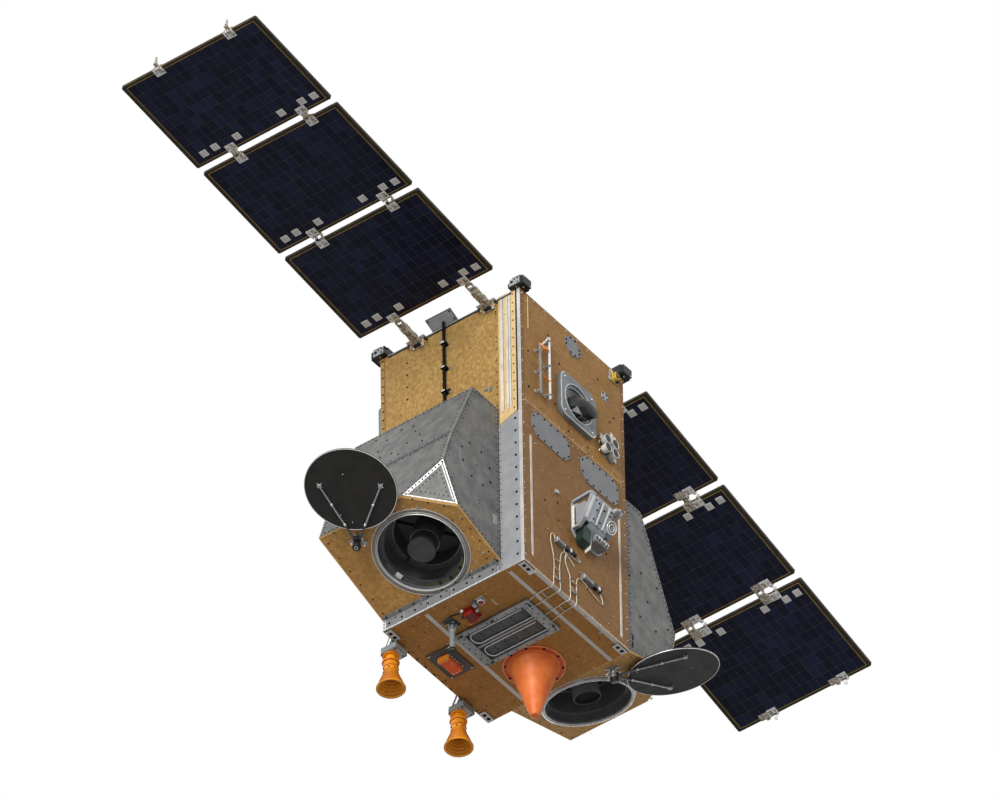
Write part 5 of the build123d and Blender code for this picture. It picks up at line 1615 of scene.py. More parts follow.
def make_rods():
    """Two upright rods on small clamps, with their ties, braces and wedge, and the small units near them."""
    rods, trim = Shape(), Shape()
    black = heads("black")
    grey, white = on_right(414, 0, 34), on_right(306, 0, 34)
    # the two rods, by height, with their clamps
    rods.tube([(0, 1630, 0), (0, 2078, 0)], 10, "grey_paint", grey, 16)
    rods.tube([(0, 2074, 0), (0, 2098, 0)], 7.5, "orange_tape", grey, 12)
    rods.tube([(0, 1656, 0), (0, 2224, 0)], 9, "white_paint", white, 16)
    for place, lows in ((grey, (1664, 1838, 2040)), (white, (1692, 1960, 2190))):
        for h in lows:
            clamp = shifted(place, 0, h, -34)
            rods.block((26, 20), 0, 44, "machined", clamp, bevel=2.0)
            rods.block((48, 22), 0, 4, "bright_edge", clamp, bevel=1.0)
            black.spots(shifted(clamp, z=44), [(0, 0)], 5)
            black.spots(shifted(clamp, z=4), [(-18, 0), (18, 0)], 5)
    piece("sensor_rod_pair", rods, "bus", ["sensor_rods"])
    # the white rod's braces and orange ties
    trim.tube([(-12, 2216, 0), (-52, 2150, 4), (-100, 2082, 0)], 6.5, "white_paint", white, 12)
    trim.tube([(8, 2210, 0), (26, 2150, -16), (34, 2110, -32)], 4.5, "white_paint", white, 10)
    trim.block((62, 30), -12, 10, "orange_tape", shifted(white, -54, 2092, 0, 24), bevel=2.0)
    trim.tube([(0, 1812, 0), (0, 1824, 0)], 11.5, "orange_tape", white, 16)
    trim.block((92, 7), -5, 6, "orange_tape", shifted(white, -52, 1818))
    trim.tube([(0, 1700, -8), (-60, 1662, -14), (-100, 1652, -10)], 4.5, "machined", white, 10)
    wall = on_right(0, 0)
    # small units near the rods
    trim.block((40, 30), 0, 12, "machined", shifted(wall, -213, 890, 0, 18), bevel=2.0)
    trim.block((74, 74), 0, 3, "light_sheet", shifted(wall, 372, 2190, 0, 8), bevel=1.5, corner=16)
    black.spots(shifted(wall, 372, 2190, 3, 8), [(-20, -20), (20, -20), (-20, 20), (20, 20)], 8)
    unit = shifted(wall, 466, 2436)
    trim.block((84, 96), 0, 10, "machined", unit, bevel=2.0)
    trim.block((40, 60), 10, 40, "yellow_paint", shifted(unit, 6, -4), bevel=3.0)
    trim.block((24, 34), 40, 50, "dark_metal", shifted(unit, 6, -4), bevel=2.0)
    trim.tube([(-30, 40, 14), (-40, 10, 30), (-24, -30, 26), (4, -44, 14)], 5, "yellow_paint", unit, 8)
    trim.block((16, 84), 10, 30, "black_paint", shifted(unit, 34, 0), bevel=2.0)
    screws("silver", shifted(unit, z=10), 6, 84, 96, 10)
    piece("rod_trim", trim, "bus")


def access_cover(trim, place, wide, high):
    """A screwed-down cover plate."""
    trim.block((wide, high), 0, 3, "plate_sheet", place, bevel=1.0, corner=10)
    heads("black").spots(shifted(place, z=3), [(i * (wide / 2 - 11), j * (high / 2 - 11))
                                               for i in (-1, 0, 1) for j in (-1, 1)], 6)


def make_back_walls():
    """What is on the -Y wall, the aft wall and the zenith face."""
    trim = Shape()
    dress_left_wall(trim)
    dress_aft_wall(trim)
    dress_zenith_face(trim)
    piece("back_wall_trim", trim, "bus")


def dress_left_wall(trim):
    """Seam, tapes, screws and access covers of the -Y wall."""
    black, silver = heads("black"), heads("silver")
    left = on_left(0, 0)
    seam_and_tapes(trim, left)
    trim.strip((-514, -502), (1540, 2470), 0, 3, "strip_foil", left, 1.0)
    for low, high in ((60, 1480), (1520, 2470)):
        for x in (-576, 574):
            silver.row(left, [(x, low), (x, high)], 4.0, 105)
    for h in (20, 1478, 1524, tall - 22):
        silver.row(left, [(-540, h), (540, h)], 3.8, 104)
    black.spots(left, [(-430, 1620), (-260, 1700), (-80, 1580), (60, 2280), (-120, 2200),
                       (-420, 2320), (300, 1560), (-300, 420), (-120, 700), (80, 900), (260, 540), (420, 860),
                       (-420, 980), (30, 360)], 8.5)
    for x, h, wide, high in ((-330, 2050, 150, 110), (-180, 880, 170, 120), (200, 1130, 120, 90)):
        cover = on_left(x, h)
        access_cover(trim, cover, wide, high)
        trim.block((wide - 46, high - 40), 3, 7, "light_sheet", cover, corner=6)


def dress_aft_wall(trim):
    """Strips, screws and access covers of the aft wall."""
    black, silver = heads("black"), heads("silver")
    aft = on_aft(0, 0)
    for y in (-1, 1):
        trim.strip((y * 430 - 26, y * 430 + 26), (1470, 2490), 0, 2.4, "strip_foil", aft, 0.8)
        black.row(aft, [(y * 430, 1500), (y * 430, 2470)], 6.5, 96)
        trim.strip((y * 578 - 12, y * 578 + 12), (2, tall - 2), 0, 3, "light_sheet", aft, 0.8)
        black.row(aft, [(y * 578, 40), (y * 578, 2480)], 5.0, 82)
    for h, size in ((2486, 5.5), (1520, 5.0)):
        silver.row(aft, [(-540, h), (540, h)], size, 90)
    black.spots(aft, [(-300, 2380), (-120, 2300), (60, 2400), (250, 2330), (-220, 2050),
                      (180, 2090), (-330, 1760), (320, 1700), (20, 1900), (-60, 1620)], 6.5)
    for y, h, wide, high in ((-190, 2210, 150, 100), (210, 1870, 120, 150)):
        access_cover(trim, shifted(aft, y, h), wide, high)


def dress_zenith_face(trim):
    """Strips, screws and connector boxes of the zenith face."""
    silver = heads("silver")
    top = on_zenith(0, 0)
    for x in (-1, 1):
        trim.strip((x * 560 - 14, x * 560 + 14), (-470, 470), 0, 2.4, "strip_foil", top, 0.8)
        silver.row(top, [(x * 560, -450), (x * 560, 450)], 6, 82)
    for y in (-1, 1):
        trim.strip((-470, 470), (y * 568 - 12, y * 568 + 12), 0, 2.4, "strip_foil", top, 0.8)
        silver.row(top, [(-450, y * 568), (450, y * 568)], 6, 82)
    heads("black").ring(top, 516, 24, 7)
    for x, y, turn in ((-470, -380, 30), (470, 390, 30), (-460, 400, -30), (455, -400, -30)):
        box = shifted(top, x, y, 0, turn)
        trim.block((96, 66), 0, 4, "machined", box, bevel=1.5, corner=8)
        trim.block((70, 44), 4, 30, "grey_paint", box, bevel=3.0)
        for plug in (-16, 18):
            trim.lathe([(12, 30), (12, 40), (9, 42), (0.4, 42)], "machined", shifted(box, plug), 20)
        screws("silver", shifted(box, z=4), 5, 96, 66, 8)


def make_fore_brackets():
    """Clamps of the rod antenna, small brackets on the forward wall, and plates beside the arms and tray."""
    trim = Shape()
    black = heads("black")
    for h in (1875, 2097, 2324):
        top = on_fore(rod_y, h, 45)
        trim.block((30, 14), 0, 2.5, "bright_edge", top, bevel=0.8)
        foot = on_fore(rod_y, h)
        trim.block((40, 16), 0, 4, "machined", foot, bevel=1.0)
        trim.tube([(14, h, 6), (34, h + 2, 10), (40, h - 8, 8), (34, h - 16, 6)], 3.4, "machined",
                  on_fore(rod_y, 0), 8)
    trim.tube([(0, 1528, 28), (0, 1546, 28)], 14, "machined", on_fore(rod_y, 0), 14)
    trim.block((26, 60), 0, 30, "black_paint", on_fore(rod_y, 1560), bevel=2.0)
    for y, h, size in ((303, 1720, (44, 20)), (347, 1707, (26, 34)), (-28, 1898, (56, 22))):
        foot = on_fore(y, h)
        trim.block(size, 0, 9, "machined" if y > 0 else "black_paint", foot)
        black.spots(shifted(foot, z=9), [(-size[0] / 4, 0), (size[0] / 4, 0)], 5)
    for sign in (-1, 1):
        edge = seat(spot(sign * (half_x + 1), 0, tall - 16), RIGHT, FORE * sign)
        trim.block((1060, 18), 0, 3, "black_paint", edge, bevel=1.0)
        trim.block((1060, 5), 3, 5, "white_paint", shifted(edge, 0, 9 * sign), bevel=1.0)
        for y in hinge_places:
            shelf = seat(spot(sign * half_x, (y - 8) * sign, tall - 40), RIGHT, FORE * sign)
            trim.block((156, 8), 0, 44, "white_paint", shifted(shelf, 0, 22 * sign), bevel=1.0)
            trim.block((150, 34), 0, 16, "strip_foil", shelf, bevel=2.0)
            for end in (-1, 1):
                trim.block((20, 30), 0, 24, "black_paint", shifted(shelf, 72 * end, 2 * sign), bevel=2.0)
            black.spots(shifted(shelf, z=16), [(-42, 0), (-14, 0), (14, 0), (42, 0)], 5)
    low, high, middle = box_mm("top_tray")
    size = high.y - low.y
    lean = math.radians(25)
    tilt = seat(spot(half_x, middle.y, tall + 2), RIGHT, Vector((math.sin(lean), 0, -math.cos(lean))))
    trim.block((size - 10, 84), 0, 1.6, "blue_grey_paint", shifted(tilt, 0, 48, 1.5), bevel=0.8)
    black.spots(shifted(tilt, 0, 48, 3.1), [(-92, 34), (92, 34), (92, -30)], 7)
    piece("fore_bracket_trim", trim, "bus")


# ---------------------------------------------------------------- harness
def wire_tree():
    """Smooth round wires along the start mesh's edges."""
    tree = GrowthTree("tied_wires", (("Radius", "NodeSocketFloat"), ("Step", "NodeSocketFloat"),
                                     ("Sides", "NodeSocketInt"), ("Finish", "NodeSocketMaterial")))
    start = tree.start
    line = tree.node("GeometryNodeMeshToCurve", {"Mesh": start["Geometry"]}).outputs["Curve"]
    line = tree.node("GeometryNodeCurveSplineType", {"Curve": line},
                     spline_type="CATMULL_ROM").outputs["Curve"]
    line = tree.node("GeometryNodeResampleCurve", {"Curve": line, "Length": start["Step"]}, mode="LENGTH")
    section = tree.node("GeometryNodeCurvePrimitiveCircle",
                        {"Radius": start["Radius"], "Resolution": start["Sides"]})
    skin = tree.node("GeometryNodeCurveToMesh", {"Curve": line.outputs["Curve"],
                                                 "Profile Curve": section.outputs["Curve"],
                                                 "Fill Caps": True})
    return tree.finish(skin.outputs["Mesh"], start["Finish"])


def wires(name, lines, radius, finish, tree):
    """Wires through points given in metres, one after another."""
    start = bpy.data.meshes.new(name)
    points = [point for line in lines for point in line]
    edges = []
    first = 0
    for line in lines:
        edges += [(first + k, first + k + 1) for k in range(len(line) - 1)]
        first += len(line)
    start.from_pydata([tuple(point) for point in points], edges, [])
    made = grown(name, start, tree,
                 {"Radius": radius * MM, "Step": 0.012, "Sides": 7, "Finish": finishes[finish]})
    made.data.shade_smooth()
    settle(made, "bus")


def make_harness():
    tree = wire_tree()
    lay_wires(tree)
    lay_ties(tree)
    make_clips()


wire_stand = half_y + 7     # the wires' middle, off the +Y wall


def lay_wires(tree):
    """The wires that run down the +Y wall and round onto the earth face."""
    # each wire's run down the wall by x and height, then over the earth face by x and y
    down = ((((298, 387), (266, 259), (264, 150), (271, 58)),
             ((276, 564), (273, 501), (262, 430), (242, 356))),
            (((136, 391), (178, 342), (198, 224), (200, 130), (196, 56)),
             ((201, 560), (187, 445), (180, 353))),
            (((125, 390), (132, 309), (100, 240), (83, 204), (81, 55)), ((91, 568), (82, 496), (60, 340))),
            (((-63, 262), (-36, 268), (-10, 248), (4, 225), (8, 202), (11, 68)),
             ((18, 578), (11, 503), (-12, 382))))
    lines = []
    for wall_run, earth_run in down:
        line = [spot(x, wire_stand, h) for x, h in wall_run]
        x = (wall_run[-1][0] + earth_run[0][0]) / 2
        line += [spot(x, wire_stand + 3, 22), spot(x, half_y + 1, -5)]
        line += [spot(x, y, -8) for x, y in earth_run]
        lines.append(line)
    loops = (((136, 391), (150, 410), (142, 440), (100, 462), (60, 470)),
             ((-63, 262), (-100, 254), (-120, 247), (-180, 226), (-250, 205), (-290, 210),
              (-286, 240), (-256, 300)),
             ((125, 390), (60, 352), (30, 334)),
             ((2, 432), (-28, 430), (-34, 415), (20, 404), (96, 400), (125, 390)))
    for loop in loops:
        lines.append([spot(x, wire_stand, h) for x, h in loop])
    lines.append([spot(x, wire_stand + 2, h) for x, h in ((298, 387), (296, 440), (262, 470), (250, 424))])
    wires("white_harness", lines, 3.6, "pale_wire", tree)


def lay_ties(tree):
    """Ties across the two bundles."""
    ties = []
    for h in (251, 168, 83):
        ties.append([spot(262, wire_stand + 4, h), spot(232, wire_stand + 6, h - 8),
                     spot(198, wire_stand + 4, h + 4)])
    for h in (176, 111, 90):
        ties.append([spot(82, wire_stand + 4, h), spot(46, wire_stand + 6, h - 8),
                     spot(10, wire_stand + 4, h + 2)])
    ties.append([spot(273, 505, -12), spot(230, 500, -14), spot(190, 505, -12)])
    ties.append([spot(82, 512, -12), spot(46, 508, -14), spot(11, 512, -12)])
    wires("harness_ties", ties, 2.6, "pale_wire", tree)


def make_clips():
    """The wires' clips and connectors, and the sensors that they lead to."""
    clips = Shape()
    wall = on_right(0, 0)
    for x, h in ((238, 251), (262, 251), (230, 83), (198, 84), (43, 176), (80, 178), (45, 90),
                 (12, 92), (-120, 247)):
        clips.block((18, 14), 0, 12, "machined", shifted(wall, -x, h, 0, 20))
        clips.block((9, 9), 12, 15, "black_paint", shifted(wall, -x, h, 0, 20), bevel=1.0)
    face = on_earth(0, 0)
    for x, y in ((244, 505), (196, 500), (57, 512), (12, 505), (268, 440), (84, 430)):
        clips.block((18, 12), 0, 12, "machined", shifted(face, x, -y, 0, -20))
        clips.block((8, 8), 12, 15, "black_paint", shifted(face, x, -y, 0, -20), bevel=1.0)
    # the two jointed sensors that the wires lead to
    for x, h, length in ((155, 425, 190), (-155, 299, 211)):
        body = on_right(x, h, 26)
        clips.block((length * 0.5, 28), 0, 6, "grey_paint", shifted(body, -length * 0.22), bevel=2.0)
        clips.block((length * 0.24, 36), -24, 3, "black_paint", shifted(body, length * 0.17), bevel=2.0)
        clips.block((length * 0.14, 30), -20, 7, "white_paint", shifted(body, length * 0.36), bevel=2.0)
        clips.block((length * 0.06, 38), -20, 9, "black_bolt", shifted(body, length * 0.42), bevel=2.0)
        clips.block((10, 38), -22, 4, "bright_edge", shifted(body, -length * 0.47))
        heads("silver").spots(shifted(body, z=6), [(-length * 0.4, 8), (-length * 0.06, -8)], 4.5)
    clips.block((64, 22), 0, 20, "black_paint", shifted(wall, -40, 446, 0, -10), bevel=3.0)
    clips.block((14, 72), 0, 5, "white_paint", shifted(wall, -118, 372, 0, -12), bevel=1.0)
    clips.block((44, 18), 0, 12, "grey_paint", shifted(wall, 60, 330, 0, 8), bevel=2.0)
    clips.block((20, 24), 0, 15, "black_paint", shifted(wall, 84, 327), bevel=2.0)
    piece("harness_clips", clips, "bus")


# ---------------------------------------------------------------- antennas and the launch ring
def make_antennas():
    make_cone()
    make_horns()
    make_ring_trim()


def make_cone():
    """Flange rim, with a lighter edge ring that is a painted highlight, seam rings, screws and the taped tip
    of the cone antenna.
    """
    trim = Shape()
    low, _, middle = box_mm("cone_antenna")
    place = on_earth(middle.x, 0)
    reach = bus_low.z / MM - low.z
    trim.hollow([(180, 8), (209, 8), (209, 9.6), (180, 10.4)], "copper_flange", place, 96)
    # painted highlight: the lighter ring along the flange's outer edge
    trim.hollow([(209, 6), (215.4, 6), (215.4, 9), (209, 10)], "copper_rim", place, 96)
    trim.hollow([(176, 8), (181, 8), (181, 14), (177, 15), (172, 20)], "copper_paint", place, 96)
    heads("black").ring(shifted(place, z=10), 198, 10, 10, 15)
    for share in (0.93, 0.985):
        height = 8 + (reach - 20) * share
        radius = 177 - (177 - 31) * share
        hoop(trim, place, radius + 0.5, 2.0, height, "copper_flange", 40)
    wild = random.Random(5)
    rings = []
    for k in range(7):
        share = k / 6
        radius = (35 - 9 * share) if k < 6 else 8
        rings.append([(radius * math.cos(a) * wild.uniform(0.93, 1.05),
                       radius * math.sin(a) * wild.uniform(0.93, 1.05),
                       reach - 44 + 45.5 * share) for a in (math.tau * i / 20 for i in range(20))])
    trim.loft(rings, "copper_crumple", place)
    for k in range(3):
        a = math.radians(70 + 120 * k)
        line = [(*polar((176.5 - 145.5 * share), a), 12 + (reach - 40) * share)
                for share in (0.02, 0.3, 0.6, 0.9)]
        trim.tube(line, 1.6, "copper_paint", place, 6)
    piece("cone_trim", trim, "bus")


horn_places = (430, -332)           # the forward and the aft horn, along the -Y edge of the earth face


def make_horns():
    """Corrugations, collars, screws and struts of the two horns, and the silver parts of their shelves; the
    corrugation rings are painted lighter and darker as highlight and shade.
    """
    trim, mounts = Shape(), Shape()
    black, silver = heads("black"), heads("silver")
    for x in horn_places:
        place = on_earth(x, -half_y - 62, 369)
        for k in range(11):
            share = (k + 0.5) / 11
            radius = 101 - 49 * share
            # painted light: the inner rings alternate the amber paint with a lighter copy as highlight, and
            # the outer rings take a darker copy as shade
            hoop(trim, place, radius - 6, 3.5, -132 * share, "amber_paint" if k % 2 else "amber_light", 48)
            hoop(trim, place, radius + 0.6, 2.0, -132 * share, "amber_dark", 48)
        trim.hollow([(98, 0.4), (101, 0.4), (103, -1.5), (103, -6), (100.5, -8), (99, -6)], "amber_paint",
                    place, 64)
        for level in (-138, -180, -222):
            trim.hollow([(52, level), (55, level - 1), (55, level - 6), (52, level - 7)], "amber_dark",
                        place, 48)
        trim.hollow([(60, -232), (62, -233), (62, -237), (60, -238)], "amber_paint", place, 48)
        for k in range(8):
            a = math.radians(22.5 + 45 * k)
            black.spots(seat(place @ Vector((*polar(55.4, a), -160)), DOWN,
                             Vector((math.cos(a), -math.sin(a), 0))), [(0, 0)], 5.5)
        for k in range(5):
            hoop(trim, place, 45 - 2 * k, 1.2, -140 - 16 * k, "amber_dark", 40)
        shelf = on_earth(x, -half_y - 41, 75)
        mounts.block((122, 130), 0, 1.6, "machined", shelf, bevel=0.8, corner=18)
        mounts.hollow([(38, 1.6), (58, 1.6), (58, 6), (54, 8), (38, 8)], "amber_paint",
                      shifted(shelf, 0, 21), 40)
        screws("black", shifted(shelf, z=1.6), 7, 122, 130, 13)
        front = on_left(x, -53, 112)
        mounts.block((92, 30), 0, 2, "light_sheet", front, bevel=1.0)
        silver.row(shifted(front, z=2), [(-36, 0), (36, 0)], 5, 24)
        foot = on_left(x, 58, 10)
        mounts.block((118, 104), 0, 2, "light_sheet", foot, bevel=1.0)
        black.spots(shifted(foot, z=2), [(-44, 34), (44, 34), (-44, -30), (44, -30), (0, 34), (0, -30)], 7)
        for side in (-1, 1):
            mounts.tube([(side * 53, 106, -5), (side * 43, -30, 78)], 7.2, "bright_edge",
                        on_left(x, 0, 10), 12)
            mounts.tube([(side * 20, 96, 2), (side * 26, -28, 60)], 4.2, "dark_metal", on_left(x, 0, 10), 10)
        cable = [(0, 60, 4), (-18, 40, 22), (-26, 4, 52), (-20, -30, 70)]
        mounts.tube(cable, 5.5, "black_paint", shifted(on_left(x, 0, 10), 34, 0), 10)
    piece("horn_trim", trim, "bus")
    piece("horn_mount_trim", mounts, "bus")


def make_ring_trim():
    """Bolts, lips and stiffeners of the launch ring."""
    trim = Shape()
    place = seat(Vector((0, 0, 0)), FORE, UP)
    for radius, level in ((468.5, -100), (468.5, -14)):
        trim.hollow([(radius - 0.2, level + 1), (radius + 2.5, level + 2), (radius + 2.5, level + 9),
                     (radius - 0.2, level + 10)], "bright_edge", place, 96)
    for k in range(24):
        a = math.tau * (k + 0.5) / 24
        rib = place @ Matrix.Rotation(a, 4, "Z")
        trim.block((10, 6), -97, -14, "machined", shifted(rib, 472, 0), bevel=1.0)
    under = seat(Vector((0, 0, -0.0122)), FORE, DOWN)
    heads("black").ring(under, 440, 24, 7, 7.5)
    foot = seat(Vector((0, 0, bus_high.z)), FORE, UP)
    trim.hollow([(470, 0), (500, 0), (500, 3), (497, 4), (470, 4)], "light_sheet", foot, 96)
    heads("silver").ring(shifted(foot, z=4), 486, 36, 7, 5)
    piece("launch_ring_trim", trim, "bus")


# ---------------------------------------------------------------- wings
panel_length, panel_width = 860.0, 1150.0
cells_across = 17
cells_along = 9
pad_shares = (0.106, 0.191, 0.350, 0.682, 0.838, 0.924)


def cells_tree():
    """A sheet of cells: one slim tile at each step of a grid, each with its own tone."""
    tree = GrowthTree("cell_sheet", (("Length", "NodeSocketFloat"), ("Width", "NodeSocketFloat"),
                                     ("Along", "NodeSocketInt"), ("Across", "NodeSocketInt"),
                                     ("Tile", "NodeSocketVector"), ("Seed", "NodeSocketInt"),
                                     ("Finish", "NodeSocketMaterial")))
    start = tree.start
    grid = tree.node("GeometryNodeMeshGrid", {"Size X": start["Length"], "Size Y": start["Width"],
                                              "Vertices X": start["Along"], "Vertices Y": start["Across"]})
    tile = tree.node("GeometryNodeMeshCube", {"Size": start["Tile"]})
    placed = tree.node("GeometryNodeInstanceOnPoints", {"Points": grid.outputs["Mesh"],
                                                        "Instance": tile.outputs["Mesh"]})
    tone = tree.node("FunctionNodeRandomValue", {"Seed": start["Seed"]}, data_type="FLOAT")
    toned = tree.node("GeometryNodeStoreNamedAttribute", {
        "Geometry": placed.outputs["Instances"], "Name": "cell_tone", "Value": tone.outputs[1]},
        data_type="FLOAT", domain="INSTANCE")
    return tree.finish(toned.outputs["Geometry"], start["Finish"])


def make_wings():
    tree = cells_tree()
    for number, (wing, sign) in enumerate((("fore", 1), ("aft", -1))):
        for index, part in enumerate(("inner", "mid", "outer")):
            make_panel(tree, wing, sign, part, 3 * number + index)
        make_arm_wraps(wing, sign)


def make_panel(tree, wing, sign, part, number):
    """Cells, frame lines and pads below a panel; harness and edge members on its back and sides."""
    body = f"{wing}_{part}_wing"
    node = f"{wing}_{part}_panel"
    below = face_towards(node, DOWN, 0.3)
    above = face_towards(node, UP, 0.3)
    place = seat(below.centre, FORE * sign, below.normal)
    back = seat(above.centre, FORE * sign, above.normal)
    length, width = panel_length, panel_width
    thick = (above.centre - below.centre).length / MM
    step_x = (length - 48) / cells_along
    step_y = (width - 72) / cells_across
    start = bpy.data.meshes.new(node)
    cells = grown(f"{body}_cells", start, tree, {
        "Length": step_x * (cells_along - 1), "Width": step_y * (cells_across - 1), "Along": cells_along,
        "Across": cells_across, "Tile": (step_x - 2.6, step_y - 2.6, 1.0), "Seed": number,
        "Finish": finishes["cell_glass"]})
    cells.data.transform(place @ Matrix.Translation((0, 0, 1.1)))
    settle(cells, body)
    trim = Shape()
    trim.plate(rounded(length - 46, width - 70, 2, 1), 0, 0.8, "grid_olive", place)
    trim.frame(rounded(length - 38, width - 58, 3, 1), rounded(length - 45, width - 65, 3, 1),
               1.0, "gold_line", place)
    for k, share in enumerate(pad_shares):
        pad = shifted(place, (6 if k % 3 == 1 else 0) - 0.4 * length, sign * (0.5 - share) * width)
        trim.block((57, 55), 0.9, 3.2, "bright_edge", pad, bevel=1.0)
        trim.block((43, 41), 3.2, 4.4, "pad_grey", pad, bevel=0.6)
    trim.plate(rounded(length - 6, width - 6, 8, 2), 0, 0.9, "panel_back", back, 0.3)
    for y in (-430, -150, 150, 430):
        trim.block((length - 60, 46), 0.9, 3.4, "orange_tape", shifted(back, 0, y), bevel=1.0)
        for k in range(6):
            trim.block((14, 58), 3.4, 5.0, "black_bolt", shifted(back, -330 + 132 * k, y), bevel=0.6)
    trim.tube([(x, 500 + 8 * math.sin(x / 60), 5) for x in range(-400, 401, 40)], 5, "pale_wire", back, 8)
    trim.tube([(x, -500 + 8 * math.cos(x / 70), 5) for x in range(-400, 401, 40)], 5, "pale_wire", back, 8)
    turned = place.to_3x3()
    for along, across, reach, run in (((1, 0, 0), (0, 1, 0), width / 2, length),
                                      ((0, 1, 0), (1, 0, 0), length / 2, width)):
        for end in (-1, 1):
            out = Vector(across) * end
            side = seat(below.centre + turned @ (out * reach - Vector((0, 0, thick / 2))),
                        turned @ Vector(along), turned @ out)
            trim.plate(rounded(run - 18, thick - 5, 2, 1), 0, 0.8, "panel_side", side)
    piece(f"{body}_trim", trim, body)
    make_hinge_trim(wing, sign, part, place, thick)


def make_hinge_trim(wing, sign, part, place, thick):
    """Screws, springs and foil lugs on a panel's hinge leaves."""
    body = f"{wing}_{part}_wing"
    trim = Shape()
    silver, black = heads("silver", body), heads("black", body)
    for y in hinge_places:
        across = -sign * y
        for end in (-1, 1):
            last = part == "outer" and end > 0
            leaf_x = panel_length / 2 - 25 if last else end * (panel_length / 2 - 30)
            leaf = shifted(place, leaf_x, across, 4)
            trim.block((62, 76), -3, 0.8, "bright_edge", leaf, bevel=0.6)
            trim.block((40, 22), 0, 4.5, "wrapped_foil", shifted(leaf, 2, -12))
            silver.spots(leaf, [(-22, -27), (22, -27), (-22, 27), (22, 27)], 5.5)
            black.spots(leaf, [(0, 22), (-10, -28)], 5.5)
            if last:
                tip = shifted(place, panel_length / 2 + 22, across)
                for low in (-thick - 30, -thick - 8, 18):
                    trim.hollow([(12, low), (12, low + 6), (8.4, low + 6), (8.4, low)], "bright_edge",
                                tip, 16)
                trim.block((12, 60), -4, 5, "black_paint", shifted(place, panel_length / 2 - 4, across))
            elif part != "inner" or end > 0:
                tab = shifted(place, end * (panel_length / 2 + 12), across + 27, -thick / 2)
                trim.block((22, 9), -thick / 2 - 3, thick / 2 + 5, "bright_edge", tab, bevel=1.0)
                trim.block((16, 12), -6, 12, "black_paint", shifted(tab, -end * 3, -9), bevel=1.0)
    piece(f"{body}_hinge_trim", trim, body)


def make_arm_wraps(wing, sign):
    """Loose foil wound round the two arms of a wing, tied where it ends."""
    root = Vector((sign * half_x * MM, 0, bus_high.z - 42 * MM))
    pin = Vector(joints[f"{wing}_wing_fold"]["pos_m"])
    line = pin - root
    line.y = 0
    wraps = Shape()
    reach = line.length / MM
    stations = 22
    for number, y in enumerate(hinge_places):
        side = root + RIGHT * y * sign * MM
        place = seat(side, RIGHT, line)
        wild = random.Random(20 + number + (5 if sign < 0 else 0))
        rings = []
        for k in range(stations + 1):
            z = 16 + (reach - 62) * k / stations
            squeeze = 0.86 if k in (0, stations) else 1.0
            ring = []
            for i in range(20):
                a = math.tau * i / 20
                square = min(1 / max(abs(math.cos(a)), abs(math.sin(a))), 1.16)
                r = (27.5 + wild.uniform(-2.5, 4.5) + 1.6 * math.sin(k * 2.1 + i)) * square * squeeze
                ring.append((*polar(r, a), z + wild.uniform(-1.5, 1.5)))
            rings.append(ring)
        wraps.loft(rings, "wrapped_foil", place)
        for share in (0.12, 0.5, 0.88):
            hoop(wraps, shifted(place, 0, 0, 16 + (reach - 62) * share), 31, 2.2, 0, "machined", 20)
        foot = seat(side + FORE * sign * 12 * MM, RIGHT, FORE * sign)
        wraps.block((92, 80), 0, 2, "bright_edge", foot, bevel=1.0)
        heads("silver").spots(shifted(foot, 0, 0, 2), [(-36, 30), (36, 30), (-36, -30), (36, -30)], 6.5)
        wraps.block((60, 16), 2, 26, "black_paint", shifted(foot, 0, -31), bevel=2.0)
    piece(f"{wing}_arm_wraps", wraps, "bus")


# ---------------------------------------------------------------- camera, light and floor
camera_back = Vector((0.5952, 0.4384, -0.6735))     # from the satellite towards the camera
camera_up = Vector((0.5321, 0.4130, 0.7391))        # upwards in the view
pixel = 6.8 * MM                    # what one pixel of the view shows, at the satellite
view_width = 1000
camera_distance = 136.0
sensor_width = 36.0
earth_centre_px = (506.3, 641.9)    # where the middle of the earth face lies in the view
view_centre_px = (500.0, 400.0)
floor_under_camera = 3.0
floor_size = 3000.0


def set_camera():
    """A long lens that looks up at the earth face from ahead and to the right."""
    right = camera_up.cross(camera_back).normalized()
    up = camera_back.cross(right).normalized()
    target = Vector((0, 0, bus_low.z))
    target -= right * (earth_centre_px[0] - view_centre_px[0]) * pixel
    target += up * (earth_centre_px[1] - view_centre_px[1]) * pixel
    data = bpy.data.cameras.new("camera")
    data.sensor_width = sensor_width
    data.lens = sensor_width * camera_distance / (view_width * pixel)
    data.clip_start = 1.0
    data.clip_end = 2 * floor_size
    made = new_object("camera", data)
    place = Matrix((right, up, camera_back.normalized())).transposed().to_4x4()
    place.translation = target + camera_back.normalized() * camera_distance
    made.matrix_world = place
    bpy.context.scene.camera = made
    return made


def sun(name, towards, share, spread):
    """A sun that shines from a direction; share is what a face square to it reflects of its own colour."""
    data = bpy.data.lights.new(name, "SUN")
    data.energy = share * math.pi
    data.angle = math.radians(spread)
    new_object(name, data).rotation_euler = Vector(towards).to_track_quat("Z", "Y").to_euler()


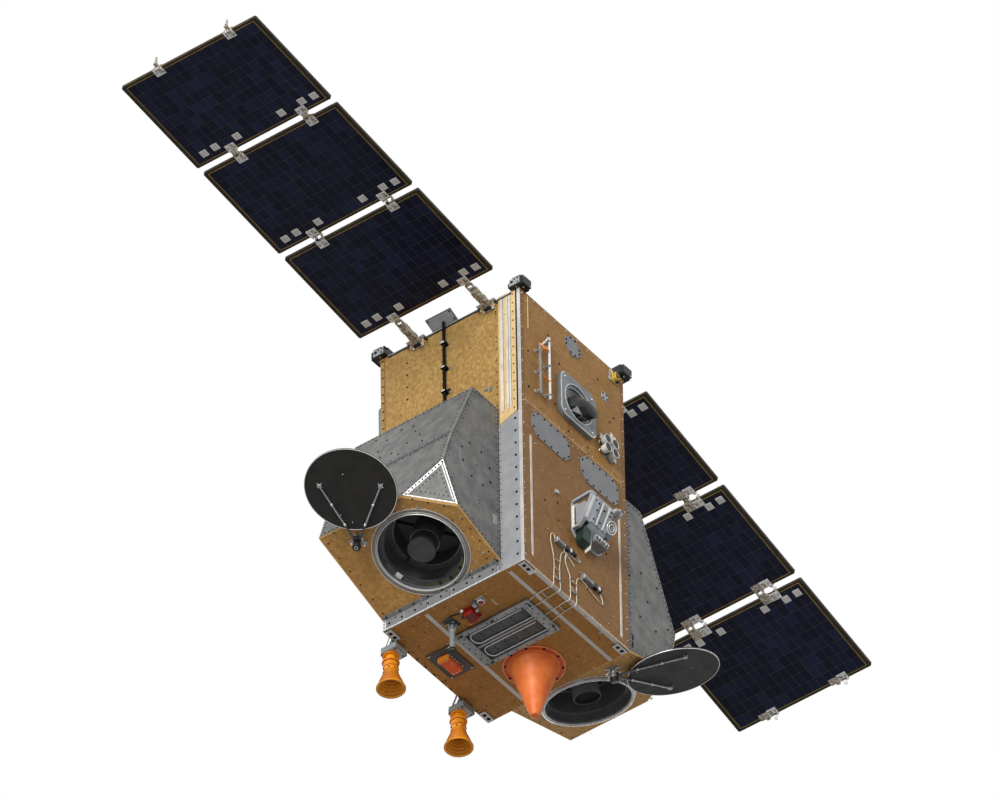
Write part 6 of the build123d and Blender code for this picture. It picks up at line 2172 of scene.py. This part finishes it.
def set_light():
    """A white studio: soft grey light all round, a key from the front right and a weaker one behind."""
    sun("key_light", (0.9, 0.3, 0.12), 0.85, 22)
    sun("back_light", (-0.6, -0.5, 0.4), 0.55, 40)
    world = bpy.data.worlds.new("studio")
    world.use_nodes = True
    studio = NodeTree(world.node_tree)
    background = studio.tree.nodes["Background"].inputs
    path = studio.node("ShaderNodeLightPath").outputs
    seen = path["Is Camera Ray"]
    for name in ("Is Glossy Ray", "Is Transmission Ray"):
        seen = studio.node("ShaderNodeMath", {0: seen, 1: path[name]}, operation="MAXIMUM").outputs[0]
    level = studio.node("ShaderNodeMapRange", {"To Min": 0.42, "To Max": 1.0, "Value": seen})
    studio.tree.links.new(level.outputs["Result"], background["Strength"])
    background["Color"].default_value = (1.0, 1.0, 1.0, 1.0)
    bpy.context.scene.world = world


def set_floor(camera):
    """A wide pale floor just under the camera; it is clear from below."""
    level = camera.matrix_world.translation.z - floor_under_camera
    half = floor_size / 2
    mesh = bpy.data.meshes.new("floor")
    mesh.from_pydata([(-half, -half, level), (half, -half, level), (half, half, level), (-half, half, level)],
                     [], [(0, 1, 2, 3)])
    mesh.shade_smooth()
    made = new_object("floor", mesh)
    coat = Finish("floor_paint", roughness=0.8, specular=0.1)
    coat.colour(coat.steps(coat.noise(0.02, 2.0), ((0.3, (186, 186, 186)), (0.7, (190, 190, 190)))))
    path = coat.node("ShaderNodeLightPath").outputs["Is Camera Ray"]
    glow = coat.node("ShaderNodeEmission", {"Color": (1, 1, 1, 1),
                                            "Strength": coat.share(path, 0.0, 1.0, 0.0, 0.45)})
    lit = coat.node("ShaderNodeAddShader", {0: coat.shader.outputs[0], 1: glow.outputs[0]})
    clear = coat.node("ShaderNodeBsdfTransparent")
    side = coat.node("ShaderNodeMixShader", {"Fac": coat.node("ShaderNodeNewGeometry").outputs["Backfacing"],
                                             1: lit.outputs[0], 2: clear.outputs[0]})
    coat.tree.links.new(side.outputs[0], coat.tree.nodes["Material Output"].inputs["Surface"])
    mesh.materials.append(coat.material)


# ---------------------------------------------------------------- the whole model
coat_nodes()
view_camera = set_camera()
set_light()
set_floor(view_camera)
bpy.context.scene.view_settings.view_transform = "Standard"

make_bus_trim()
make_housing_trim()
make_cameras()
make_earth_fittings()
make_wall_fittings()
make_harness()
make_antennas()
make_wings()

fastener_tree = heads_tree()
for kind in all_heads.values():
    kind.make(fastener_tree)
